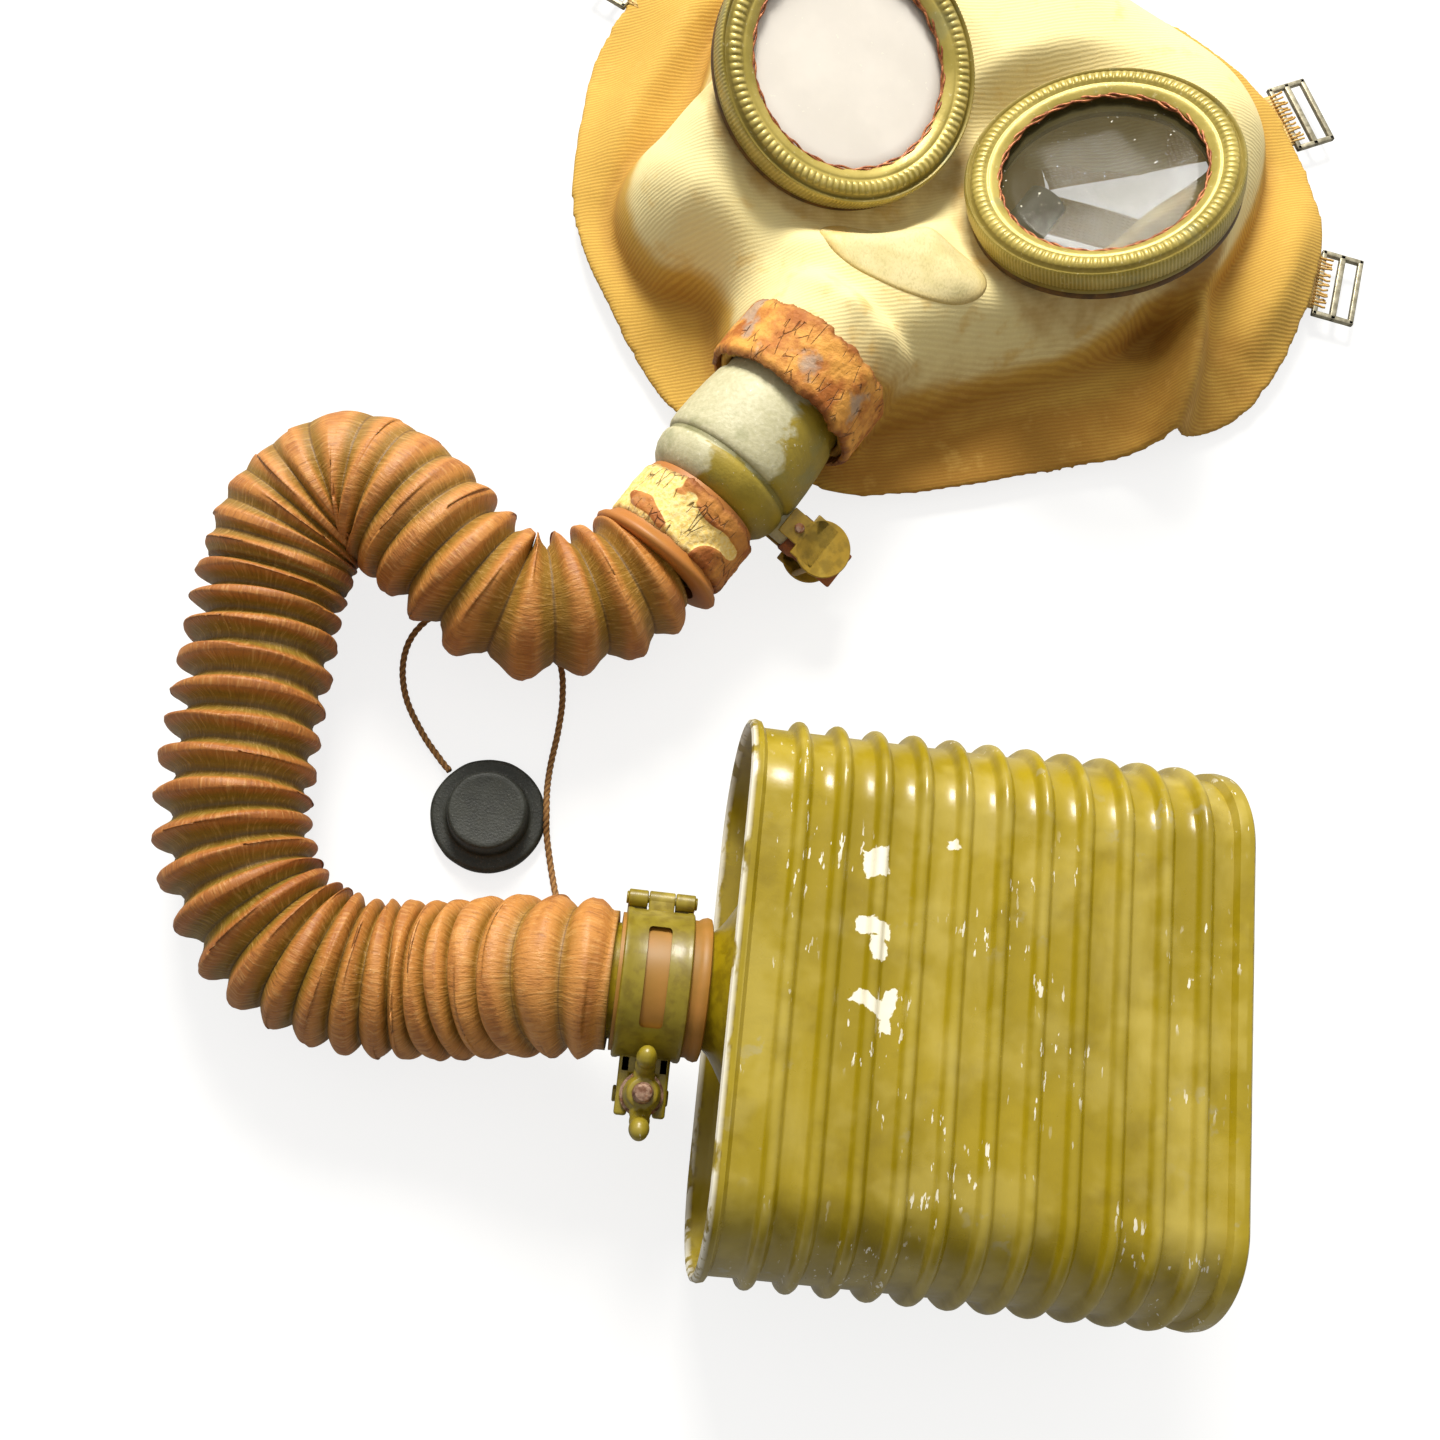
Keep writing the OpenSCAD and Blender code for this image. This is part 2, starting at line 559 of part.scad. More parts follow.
canister_body();
neck_cap();
bottom_cap();
inlet_valve_guide();
inlet_valve_disc();
inlet_screen();
charcoal_bed();
filter_pad();
soda_lime_bed();
outlet_screen();
pressure_spring();
hose_cuff();
clamp_lower();
clamp_upper();
clamp_hinge_pin();
swing_bolt();
swing_bolt_pin();
clamp_washer();
wing_nut();
breathing_hose();
stopper_string();
stopper();
angle_tube();
hose_end_cuff();
hose_tape_band();
chin_tape_band();
exhale_valve_stub();
flutter_valve();
flutter_lip();
valve_guard();
valve_guard_screws();
facepiece();
nose_patch();
air_deflector();
eye_seat_left();
eye_seat_right();
eye_frame_left();
eye_frame_right();
lens_left();
lens_right();
lens_ring_left();
lens_ring_right();
bezel_left();
bezel_right();
harness_tabs();
harness_buckles();
head_straps();
head_pad();
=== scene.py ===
import math

import bpy
import numpy as np
from mathutils import Matrix, Vector, noise
from mathutils.bvhtree import BVHTree


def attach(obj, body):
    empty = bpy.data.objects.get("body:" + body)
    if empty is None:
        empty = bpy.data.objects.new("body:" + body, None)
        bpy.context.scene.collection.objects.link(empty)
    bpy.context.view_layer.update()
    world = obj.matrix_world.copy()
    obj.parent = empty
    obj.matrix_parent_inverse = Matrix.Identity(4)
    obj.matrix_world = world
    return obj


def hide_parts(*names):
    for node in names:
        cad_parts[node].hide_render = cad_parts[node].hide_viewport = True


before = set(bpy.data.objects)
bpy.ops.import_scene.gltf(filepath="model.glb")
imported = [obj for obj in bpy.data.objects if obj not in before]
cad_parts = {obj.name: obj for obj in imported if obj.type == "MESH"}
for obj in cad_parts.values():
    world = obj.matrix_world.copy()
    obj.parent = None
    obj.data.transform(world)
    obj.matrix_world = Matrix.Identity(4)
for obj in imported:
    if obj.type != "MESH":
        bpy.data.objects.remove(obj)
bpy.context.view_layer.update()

print("frame loaded")

# Millimetres become metres in one place
mm = 0.001
tableShift = Vector((-9.4, -20.4, 0))


def fromMm(point):
    return (Vector(point) + tableShift) * mm


# Where the pieces lie

canAt = Vector((15, -162, 46))
canFrame = Matrix.Translation(fromMm(canAt))
maskFrame = Matrix.Translation(fromMm((-0.5, 136, 0))) @ Matrix.Rotation(math.radians(-21), 4, "Z")
tubeFrame = (Matrix.Translation(fromMm((-45, 51.5, 36))) @ Matrix.Rotation(math.radians(-121.7), 4, "Z")
             @ Matrix.Rotation(math.radians(95.9), 4, "Y"))
valveFrame = tubeFrame @ Matrix.Translation((0, 0, 50 * mm)) @ Matrix.Rotation(math.radians(-15), 4, "Z")
eyes = {
    "left": {"at": (-49.25, -3.8, 55.8), "lean": 9, "tip": 20},
    "right": {"at": (48.25, 2.3, 54), "lean": -3, "tip": -21},
}
for eye in eyes.values():
    turned = Matrix.Rotation(math.radians(eye["lean"]), 4, "X") @ Matrix.Rotation(math.radians(eye["tip"]), 4, "Y")
    eye["normal"] = turned.to_3x3() @ Vector((0, 0, 1))
    eye["frame"] = maskFrame @ Matrix.Translation(Vector(eye["at"]) * mm) @ turned


# Small helpers

def deselectAll():
    if bpy.context.object and bpy.context.object.mode != "OBJECT":
        bpy.ops.object.mode_set(mode="OBJECT")
    bpy.ops.object.select_all(action="DESELECT")


def makeActive(piece):
    deselectAll()
    piece.select_set(True)
    bpy.context.view_layer.objects.active = piece


def applyModifiers(piece):
    makeActive(piece)
    for modifier in list(piece.modifiers):
        bpy.ops.object.modifier_apply(modifier=modifier.name)


def thicken(piece, thick, offset=-1):
    solid = piece.modifiers.new("thick", "SOLIDIFY")
    solid.thickness, solid.offset = thick * mm, offset
    applyModifiers(piece)
    return piece


# Melts joined shapes into one skin and eases it
def melt(piece, voxel, rounds):
    skin = piece.modifiers.new("melt", "REMESH")
    skin.mode, skin.voxel_size = "VOXEL", voxel * mm
    ease = piece.modifiers.new("ease", "SMOOTH")
    ease.factor, ease.iterations = 0.5, rounds
    applyModifiers(piece)


def meshPiece(name, points, faces):
    mesh = bpy.data.meshes.new(name)
    mesh.from_pydata([tuple(p) for p in points], [], faces)
    mesh.validate()
    piece = bpy.data.objects.new(name, mesh)
    bpy.context.collection.objects.link(piece)
    mesh.polygons.foreach_set("use_smooth", [True] * len(mesh.polygons))
    return piece


def finish(piece, material, body="root", replaces=()):
    piece.data.materials.clear()
    piece.data.materials.append(material)
    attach(piece, body)
    if replaces:
        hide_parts(*replaces)
    return piece


def smoothStep(low, high, value):
    t = min(1.0, max(0.0, (value - low) / (high - low)))
    return t * t * (3 - 2 * t)


# Materials: small helpers first

def hexColour(text, alpha=1.0):
    values = [int(text[i:i + 2], 16) / 255 for i in (1, 3, 5)]
    return tuple(v / 12.92 if v <= 0.04045 else ((v + 0.055) / 1.055) ** 2.4 for v in values) + (alpha,)


def addNode(tree, kind, inputs=None, out=0, **settings):
    made = tree.nodes.new("ShaderNode" + kind)
    for key, value in settings.items():
        setattr(made, key, value)
    for key, value in (inputs or {}).items():
        socket = made.inputs[key]
        if isinstance(value, bpy.types.NodeSocket):
            tree.links.new(value, socket)
        else:
            socket.default_value = hexColour(value) if isinstance(value, str) else value
    return made.outputs[out]


def newMaterial(name, roughness=0.5, **shader):
    material = bpy.data.materials.new(name)
    material.use_nodes = True
    tree = material.node_tree
    surface = tree.nodes["Principled BSDF"]
    surface.inputs["Roughness"].default_value = roughness
    for key, value in shader.items():
        surface.inputs[key.replace("_", " ")].default_value = value
    return material, tree, surface


def layOut(tree, source="Object", stretch=(1, 1, 1), turn=0):
    return addNode(tree, "Mapping", {"Vector": addNode(tree, "TexCoord", out=source), "Scale": stretch,
                                     "Rotation": (0, 0, math.radians(turn))})


# A pattern is a socket, the name of a stored value, or a noise: size in metres, detail and how it lies
def readPattern(tree, pattern):
    if isinstance(pattern, bpy.types.NodeSocket):
        return pattern
    if isinstance(pattern, str):
        return addNode(tree, "Attribute", out="Fac", attribute_name=pattern)
    size, detail, *lay = pattern
    lay = {"source": "Object", "stretch": (1, 1, 1), "turn": 0, "rough": 0.55, "warp": 0.0, **(lay[0] if lay else {})}
    return addNode(tree, "TexNoise", {
        "Vector": layOut(tree, lay["source"], lay["stretch"], lay["turn"]), "Scale": 1 / size, "Detail": detail,
        "Roughness": lay["rough"], "Distortion": lay["warp"]}, "Fac")


# Product of smooth steps, each a pattern with the values where it starts and ends
def mask(tree, bands, amount=1.0):
    parts = []
    for pattern, *ends in bands:
        part = readPattern(tree, pattern)
        if ends:
            part = addNode(tree, "MapRange", {"Value": part, "From Min": ends[0], "From Max": ends[1]}, "Result",
                           interpolation_type="SMOOTHSTEP")
        parts.append(part)
    if amount != 1 or not parts:
        parts.append(amount)
    total = parts[0]
    for part in parts[1:]:
        total = addNode(tree, "Math", {0: total, 1: part}, operation="MULTIPLY")
    return total


# Colours laid over a base one after another, each with its strength and where it shows
def paintLayers(tree, colour, *layers):
    for amount, tone, *bands in layers:
        colour = addNode(tree, "Mix", {0: mask(tree, bands, amount), 6: colour, 7: tone}, 2, data_type="RGBA")
    return colour


# A pattern made uneven by another one
def stir(tree, pattern, other, amount):
    uneven = addNode(tree, "Math", {0: readPattern(tree, other), 1: 0.5}, operation="SUBTRACT")
    return addNode(tree, "Math", {0: uneven, 1: amount, 2: readPattern(tree, pattern)}, operation="MULTIPLY_ADD")


def dress(tree, surface, colour, shine=None, bumps=()):
    tree.links.new(colour, surface.inputs["Base Color"])
    if shine:
        spread = addNode(tree, "MapRange", {"Value": readPattern(tree, shine[0]), "To Min": shine[1],
                                            "To Max": shine[2]}, "Result")
        tree.links.new(spread, surface.inputs["Roughness"])
    relief = None
    for pattern, depth, strength in bumps:
        inputs = {"Height": readPattern(tree, pattern), "Distance": depth, "Strength": strength}
        if relief:
            inputs["Normal"] = relief
        relief = addNode(tree, "Bump", inputs, "Normal")
    if relief:
        tree.links.new(relief, surface.inputs["Normal"])


def makeFinish(name, roughness, base, layers, shine=None, bumps=(), **shader):
    material, tree, surface = newMaterial(name, roughness, **shader)
    dress(tree, surface, paintLayers(tree, base, *layers), shine, bumps)
    return material


# Camera, floor and light

camera = {"at": (-104.4, -234.4, 537), "tilt": 15.7, "roll": 18.8, "yaw": -12.4, "lens": 41.3}


def makeCamera():
    data = bpy.data.cameras.new("camera")
    data.lens = camera["lens"]
    data.sensor_width = 36
    data.clip_start = 0.02
    piece = bpy.data.objects.new("camera", data)
    bpy.context.collection.objects.link(piece)
    turn = (Matrix.Rotation(math.radians(camera["yaw"]), 4, "Z")
            @ Matrix.Rotation(math.radians(camera["tilt"]), 4, "X")
            @ Matrix.Rotation(math.radians(camera["roll"]), 4, "Z"))
    piece.matrix_world = Matrix.Translation(Vector(camera["at"]) * mm) @ turn
    bpy.context.scene.camera = piece


makeCamera()

studio = {"floor": 30.0, "key": 50.0, "keyAt": (-0.35, 1.35, 1.3), "keySize": 0.6, "seen": 0.8, "bounce": 0.16,
          "near": 0.1, "far": 0.9}


def makeStudio():
    bpy.ops.mesh.primitive_plane_add(size=studio["floor"], location=(0, 0, -0.0004))
    floor = bpy.context.object
    floor.name = "floor"
    material, tree, surface = newMaterial("whitePaper", 0.9)  # bright to look at, with little bounce on the pieces
    surface.inputs["Base Color"].default_value = hexColour("#8A8A88")
    surface.inputs["Emission Color"].default_value = (1, 1, 1, 1)
    direct = addNode(tree, "LightPath", out="Is Camera Ray")
    glow = addNode(tree, "MapRange", {"Value": direct, "To Min": studio["bounce"], "To Max": studio["seen"]}, "Result")
    tree.links.new(glow, surface.inputs["Emission Strength"])
    floor.data.materials.append(material)
    light = bpy.data.lights.new("key", "AREA")
    light.energy = studio["key"]
    light.size = studio["keySize"]
    light.color = (1.0, 0.97, 0.91)
    lamp = bpy.data.objects.new("key", light)
    bpy.context.collection.objects.link(lamp)
    lamp.location = studio["keyAt"]
    lamp.rotation_euler = (Vector((-0.05, 0, 0.04)) - lamp.location).to_track_quat("-Z", "Y").to_euler()
    world = bpy.data.worlds.new("studio")
    world.use_nodes = True
    tree = world.node_tree
    backdrop = tree.nodes["Background"]
    backdrop.inputs["Color"].default_value = (1, 0.97, 0.93, 1)
    lit = addNode(tree, "VectorMath", {0: addNode(tree, "TexCoord", out="Generated"), 1: (0, 0.7, 0.45)}, "Value",
                  operation="DOT_PRODUCT")
    sky = addNode(tree, "MapRange", {"Value": lit, "From Min": -0.6, "From Max": 1.0, "To Min": studio["near"],
                                     "To Max": studio["far"]}, "Result")
    tree.links.new(sky, backdrop.inputs["Strength"])
    bpy.context.scene.world = world
    bpy.context.scene.view_settings.view_transform = "Standard"


makeStudio()


def storeValue(piece, name, values):
    attribute = piece.data.attributes.get(name) or piece.data.attributes.new(name, "FLOAT", "POINT")
    attribute.data.foreach_set("value", np.asarray(values, np.float32))


def storeUv(piece, values):
    layer = piece.data.uv_layers.new(name="lay")
    corners = np.zeros(len(piece.data.loops), int)
    piece.data.loops.foreach_get("vertex_index", corners)
    layer.data.foreach_set("uv", np.asarray(values, np.float32)[corners].ravel())


def gridFaces(rows, columns, closed=True, flipped=False):
    width = columns if closed else columns + 1
    faces = []
    for i in range(rows):
        for k in range(columns):
            a, b = i * width + k, i * width + (k + 1) % width
            faces.append((a, a + width, b + width, b) if flipped else (a, b, b + width, a + width))
    return faces


def sweepRings(rings, closedEnds=True):
    count, sides = len(rings), len(rings[0])
    points = [p for ring in rings for p in ring]
    faces = gridFaces(count - 1, sides)
    if closedEnds:
        faces.append(tuple(range(sides - 1, -1, -1)))
        faces.append(tuple((count - 1) * sides + k for k in range(sides)))
    return points, faces


# The last ring is joined to the first one again
def sweepLoop(rings):
    points, faces = sweepRings(rings + [rings[0]], closedEnds=False)
    keep = len(rings) * len(rings[0])
    return np.array(points[:keep]) * mm, [tuple(v % keep for v in face) for face in faces]


def splineAt(a, b, c, d, t):
    return 0.5 * (2 * b + (c - a) * t + (2 * a - 5 * b + 4 * c - d) * t ** 2
                  + (3 * b - a - 3 * c + d) * t ** 3)


def curveThrough(points, step):
    points = [np.array(p, float) for p in points]
    ends = [2 * points[0] - points[1]] + points + [2 * points[-1] - points[-2]]
    line = []
    for a, b, c, d in zip(ends, ends[1:], ends[2:], ends[3:]):
        for t in np.linspace(0, 1, 24, endpoint=False):
            line.append(splineAt(a, b, c, d, t))
    line = np.array(line + [points[-1]])
    along = np.concatenate([[0], np.cumsum(np.linalg.norm(np.diff(line, axis=0), axis=1))])
    marks = np.linspace(0, along[-1], max(2, int(round(along[-1] / step)) + 1))
    return np.stack([np.interp(marks, along, line[:, i]) for i in range(3)], axis=1), marks


def pathFrames(line):
    heading = np.gradient(line, axis=0)
    heading /= np.linalg.norm(heading, axis=1)[:, None]
    side = np.stack([-heading[:, 1], heading[:, 0], np.zeros(len(line))], axis=1)
    side /= np.linalg.norm(side, axis=1)[:, None]
    return heading, side, np.cross(heading, side)


# Corrugated hose, tied from the canister's cuff to the angle tube

hose = {
    "route": [
        (-89, -162, 46), (-98, -162, 45.5), (-109, -162.4, 42.5), (-121, -163.5, 37), (-134, -165, 31),
        (-148, -166.5, 27),
        (-162, -167, 26), (-176, -165, 26), (-189, -159, 26), (-200, -149, 26), (-207, -136, 26),
        (-211, -121, 26), (-212, -105, 26), (-212, -89, 26), (-212, -73, 26), (-212, -58, 26),
        (-211, -44, 27), (-208, -30, 29), (-201, -19, 31), (-191, -13, 33), (-179, -15, 34),
        (-168, -22, 34), (-157, -31, 33), (-146, -39, 31), (-134, -44, 29), (-121, -43, 28),
        (-109, -38, 27), (-99, -31, 27), (-91.3, -23.4, 27)],
    "pitch": [(0, 11.5), (30, 10.5), (62, 7.8), (95, 8.0), (120, 10.2), (198, 10.6), (222, 8.4),
              (240, 6.6), (285, 8.4), (310, 11.5), (340, 13.5), (385, 12.0), (415, 9.5), (470, 9.0)],
    "tight": (228, 305), "crest": 23.9, "valley": 17.6, "sides": 104, "stepsPerRidge": 16,
    "bulge": [(0, 0.95), (60, 1.0), (100, 0.75), (125, 0.15), (225, 0.1), (250, 0.7), (300, 0.85), (322, 0.45),
              (400, 0.4), (440, 0.55), (485, 0.8)],
    "tone": [(0, 1.0), (60, 0.9), (110, 0.2), (215, 0.25), (260, 0.75), (400, 0.6), (480, 0.5)],
}


# Knitted cotton cured onto corrugated rubber: matt, greener in the valleys and darker there with painted shade,
# pale on the ridges, partly rubbed and partly painted highlight. The knit is drawn coarser than it is, so that it shows
def makeHoseMaterial():
    material, tree, surface = newMaterial("knitCoveredRubber", 0.62)
    wrinkle = readPattern(tree, (0.0009, 3, {"source": "UV", "stretch": (1, 0.22, 1), "rough": 0.6}))
    patch, fine = (0.014, 4), (0.0007, 2, {"source": "UV"})
    low = paintLayers(tree, "#846A1A", (1, "#9A6E24", ("tone",)))
    high = paintLayers(tree, "#A46222", (1, "#CC8B42", ("tone",)))
    # Crest: greener valleys are the knit's own colour; their darkness and the last dark layer are painted shade
    colour = paintLayers(
        tree, low, (1, high, (stir(tree, "crest", patch, 0.7), 0.3, 0.95)),
        (0.45, "#8E4A1A", ("crest", 0.86, 1.0), (patch, 0.4, 0.6)),
        (0.28, "#E6B873", (wrinkle, 0.52, 0.66)),
        (0.34, "#6A3C12", (wrinkle, 0.47, 0.34)),
        (0.4, "#E2C898", (fine, 0.62, 0.72), ((0.05, 2), 0.5, 0.7)),
        (0.55, "#4F3408", ("crest", 0.16, 0.0)))
    dress(tree, surface, colour, (patch, 0.42, 0.62), [(wrinkle, 0.0006, 0.6), (fine, 0.0003, 0.5)])
    return material


def makeHose():
    line, marks = curveThrough([fromMm(p) for p in hose["route"]], 0.5 * mm)
    heading, side, up = pathFrames(line)
    pitch = np.interp(marks / mm, *zip(*hose["pitch"])) * mm
    phase = np.concatenate([[0], np.cumsum(np.diff(marks) / pitch[1:])])
    total = round(phase[-1])
    phase *= total / phase[-1]
    places = np.interp(np.arange(0, total * hose["stepsPerRidge"] + 1) / hose["stepsPerRidge"], phase, marks)
    wide = 90
    bend = np.gradient(heading, axis=0)
    kernel = np.ones(wide) / wide
    bend = np.stack([np.convolve(bend[:, i], kernel, "same") for i in range(3)], axis=1) / (0.5 * mm)
    centre, ahead, across, above, curl, gap = (
        np.stack([np.interp(places, marks, field[:, i]) for i in range(3)], axis=1)
        for field in (line, heading, side, up, bend, np.stack([pitch] * 3, axis=1)))
    rings, crest, tone, lay = [], [], [], []
    angles = np.linspace(0, 2 * math.pi, hose["sides"], endpoint=False)
    for i, spotAlong in enumerate(places):
        turn = i / hose["stepsPerRidge"]
        number = round(turn)
        spread = gap[i][0] / mm
        share = 2 * (turn % 1) - 1
        bulge = np.interp(spotAlong / mm, *zip(*hose["bulge"]))
        soft = (0.35 * smoothStep(hose["tight"][0] - 12, hose["tight"][0] + 12, spotAlong / mm)
                * smoothStep(hose["tight"][1] + 20, hose["tight"][1] - 5, spotAlong / mm))
        ridge = bulge * (1 - abs(share) ** 2.3) ** (0.62 + soft) + (1 - bulge) * math.exp(-(abs(share) / 0.5) ** 3)
        tight = hose["tight"][0] * mm < spotAlong < hose["tight"][1] * mm
        valley = hose["valley"] + (3.0 if tight else 2.2 * smoothStep(0, 1, (9 - spread) / 3))
        ends = min(1.0, (places[-1] - spotAlong) / (8 * mm), (spotAlong + 3 * mm) / (10 * mm))
        ring = []
        for k, angle in enumerate(angles):
            out = math.cos(angle) * across[i] + math.sin(angle) * above[i]
            inner = float(out @ curl[i]) * 0.022
            inner = max(-1.0, min(1.0, inner))
            shallow = min(23.1, valley + 1.2 * max(0.0, inner) + (3.4 * max(0.0, -inner) if tight else 0)
                          + 3.2 * (1 - bulge) * max(0.0, out[0]))
            radius = shallow + (hose["crest"] - shallow) * ridge
            radius += 0.35 * math.sin(3 * angle + number * 1.7) * ridge
            radius += 0.3 * noise.noise(Vector((math.cos(angle) * 2, math.sin(angle) * 2, number * 1.31)))
            radius = 17.5 + (radius - 17.5) * max(0.25, ends)
            radius = max(radius, 20.4 if spotAlong < 24 * mm else 0)
            spot = centre[i] + out * radius * mm
            spot[2] = max(spot[2], (1.0 + 0.4 * math.sin(number)) * mm)
            spot = spot + ahead[i] * mm * (0.7 * math.sin(2 * angle + number * 2.1) * ridge)
            ring.append(spot)
            crest.append(ridge)
            tone.append(np.interp(spotAlong / mm, *zip(*hose["tone"])) + 0.12 * math.sin(number * 2.3))
            lay.append((angle * 0.022, spotAlong))
        rings.append(ring)
    points, faces = sweepRings(rings)
    piece = meshPiece("breathingHose", points, faces)
    storeValue(piece, "crest", crest)
    storeValue(piece, "tone", tone)
    storeUv(piece, lay)
    finish(piece, makeHoseMaterial(), "root", ["breathing_hose"])
    return piece


makeHose()


# Twisted string with the rubber stopper on it

stringRoute = [
    (-101, -162, 25.2), (-103, -151, 15), (-107, -141, 7), (-110, -132, 2.5), (-113, -122, 1.3),
    (-115.3, -113, 3.5), (-116.2, -106, 6.6), (-117, -98, 4.5), (-117, -89, 1.6), (-116, -77, 1.3),
    (-116, -66, 1.3), (-118, -55, 1.3), (-124, -46, 1.3), (-134, -41, 1.3), (-146, -38, 1.3),
    (-157, -39, 1.3), (-164, -44, 1.3), (-169, -52, 1.3), (-170, -62, 1.3), (-167, -73, 1.3),
    (-160, -84, 1.3), (-153, -92, 1.7), (-149.5, -95.5, 2.6)]


# Twisted cotton string: matt and fuzzy, painted highlight on the raised strands, painted shade in the twist
def makeStringMaterial():
    fuzz = (0.0005, 3)
    return makeFinish("twistedString", 0.85, "#5E3A18", [
        (1, "#A87B45", ("crest",)), (0.5, "#C79D66", (fuzz, 0.5, 0.75))], bumps=[(fuzz, 0.0003, 0.7)])


def makeString(stopper):
    line, marks = curveThrough([fromMm(p) for p in stringRoute], 0.45 * mm)
    heading, side, up = pathFrames(line)
    angles = np.linspace(0, 2 * math.pi, 15, endpoint=False)
    rings, crest = [], []
    for i, mark in enumerate(marks):
        turn = 2 * math.pi * mark / (7 * mm)
        ring = []
        for angle in angles:
            strand = abs(math.sin(1.5 * (angle - turn)))
            radius = (0.82 + 0.32 * strand) * mm
            ring.append(line[i] + radius * (math.cos(angle) * side[i] + math.sin(angle) * up[i]))
            crest.append(strand)
        rings.append(ring)
    points, faces = sweepRings(rings)
    piece = meshPiece("stopperString", points, faces)
    # Crest: 1 on the raised strands, 0 in the twist; the finish paints highlight and shade from it
    storeValue(piece, "crest", crest)
    finish(piece, makeStringMaterial(), "root", ["stopper_string"])
    print("string", round(float(marks[-1]), 3), "m")


# Round and oval pieces are drawn as one loop that is extruded step by step along its axis

def drawProfile(name, steps, sides=96, wide=0.0, closed=False):
    deselectAll()
    bpy.ops.mesh.primitive_circle_add(vertices=sides, radius=steps[0][1] * mm, rotation=(0, 0, math.pi / sides))
    piece = bpy.context.object
    piece.name = name
    bpy.ops.object.transform_apply(location=False, rotation=True, scale=False)
    bpy.ops.object.mode_set(mode="EDIT")
    bpy.ops.mesh.select_mode(type="EDGE")
    bpy.ops.mesh.select_all(action="SELECT")
    bpy.ops.transform.translate(value=(0, 0, steps[0][0] * mm))
    if wide:
        bpy.ops.object.mode_set(mode="OBJECT")
        for vertex in piece.data.vertices:
            vertex.co.y += math.copysign(wide / 2 * mm, vertex.co.y)
        bpy.ops.object.mode_set(mode="EDIT")
    for before, after in zip(steps, steps[1:]):
        bpy.ops.mesh.extrude_region_move(TRANSFORM_OT_translate={"value": (0, 0, (after[0] - before[0]) * mm)})
        if after[1] != before[1]:
            bpy.ops.transform.resize(
                value=(after[1] / before[1], (after[1] + wide / 2) / (before[1] + wide / 2), 1),
                center_override=(0, 0, after[0] * mm))
    bpy.ops.mesh.select_all(action="SELECT")
    if closed:
        bpy.ops.mesh.remove_doubles(threshold=0.00001)
    bpy.ops.mesh.select_all(action="DESELECT")
    bpy.ops.object.mode_set(mode="OBJECT")
    return piece


def capEnds(piece):
    makeActive(piece)
    bpy.ops.object.mode_set(mode="EDIT")
    bpy.ops.mesh.select_mode(type="EDGE")
    bpy.ops.mesh.select_all(action="DESELECT")
    bpy.ops.mesh.select_non_manifold(extend=False, use_wire=False, use_multi_face=False,
                                     use_non_contiguous=False, use_verts=False)
    bpy.ops.mesh.fill_holes(sides=0)
    bpy.ops.object.mode_set(mode="OBJECT")


def settle(piece, frameOf=None, angle=30):
    makeActive(piece)
    bpy.ops.object.mode_set(mode="EDIT")
    bpy.ops.mesh.select_all(action="SELECT")
    bpy.ops.mesh.normals_make_consistent(inside=False)
    bpy.ops.object.mode_set(mode="OBJECT")
    if frameOf is not None:
        piece.data.transform(frameOf)
    bpy.ops.object.shade_smooth_by_angle(angle=math.radians(angle))
    return piece


def capped(name, steps, frameOf=None, sides=96, angle=30):
    piece = drawProfile(name, steps, sides)
    capEnds(piece)
    return settle(piece, frameOf, angle)


def turned(name, steps, frameOf=None, sides=128, angle=40):
    return settle(drawProfile(name, steps, sides, closed=True), frameOf, angle)


def join(pieces, name):
    deselectAll()
    for piece in pieces:
        piece.select_set(True)
    bpy.context.view_layer.objects.active = pieces[0]
    bpy.ops.object.join()
    pieces[0].name = name
    return pieces[0]


def cutWith(piece, tools):
    for tool in tools:
        cut = piece.modifiers.new("cut", "BOOLEAN")
        cut.object = tool
        cut.solver = "EXACT"
    applyModifiers(piece)
    for tool in tools:
        bpy.data.objects.remove(tool)


def localPoints(piece, frameOf):
    points = np.empty(len(piece.data.vertices) * 3)
    piece.data.vertices.foreach_get("co", points)
    back = np.array(frameOf.inverted())
    return (points.reshape(-1, 3) @ back[:3, :3].T + back[:3, 3]) / mm


# Oval ribbed canister

alongX = Matrix.Rotation(math.pi / 2, 4, "Y")
canister = {
    "wide": 73.0, "ribs": 11, "core": 43.1, "first": -57.6, "pitch": 11.55,
    "ribShape": [(-3.1, 0), (-2.5, 0.35), (-2.0, 1.2), (-1.5, 2.3), (-0.8, 2.85), (0, 3.0), (0.8, 2.85),
                 (1.5, 2.3), (2.0, 1.2), (2.5, 0.35), (3.1, 0)],
    "neckRim": [(-64, 20), (-64, 38.5), (-65.5, 41), (-68, 42), (-71, 42.3), (-72.4, 43), (-72.9, 44),
                (-72.4, 45), (-71, 45.4), (-69.4, 45), (-68.8, 44), (-68.2, 43.2)],
    "footRim": [(66.2, 43.1), (66.8, 44.3), (67.4, 45.2), (69.5, 45.5), (71.4, 45.2), (72, 44.4), (71.6, 43.6),
                (70, 43.1), (68.6, 41), (68, 39), (68, 20)],
}


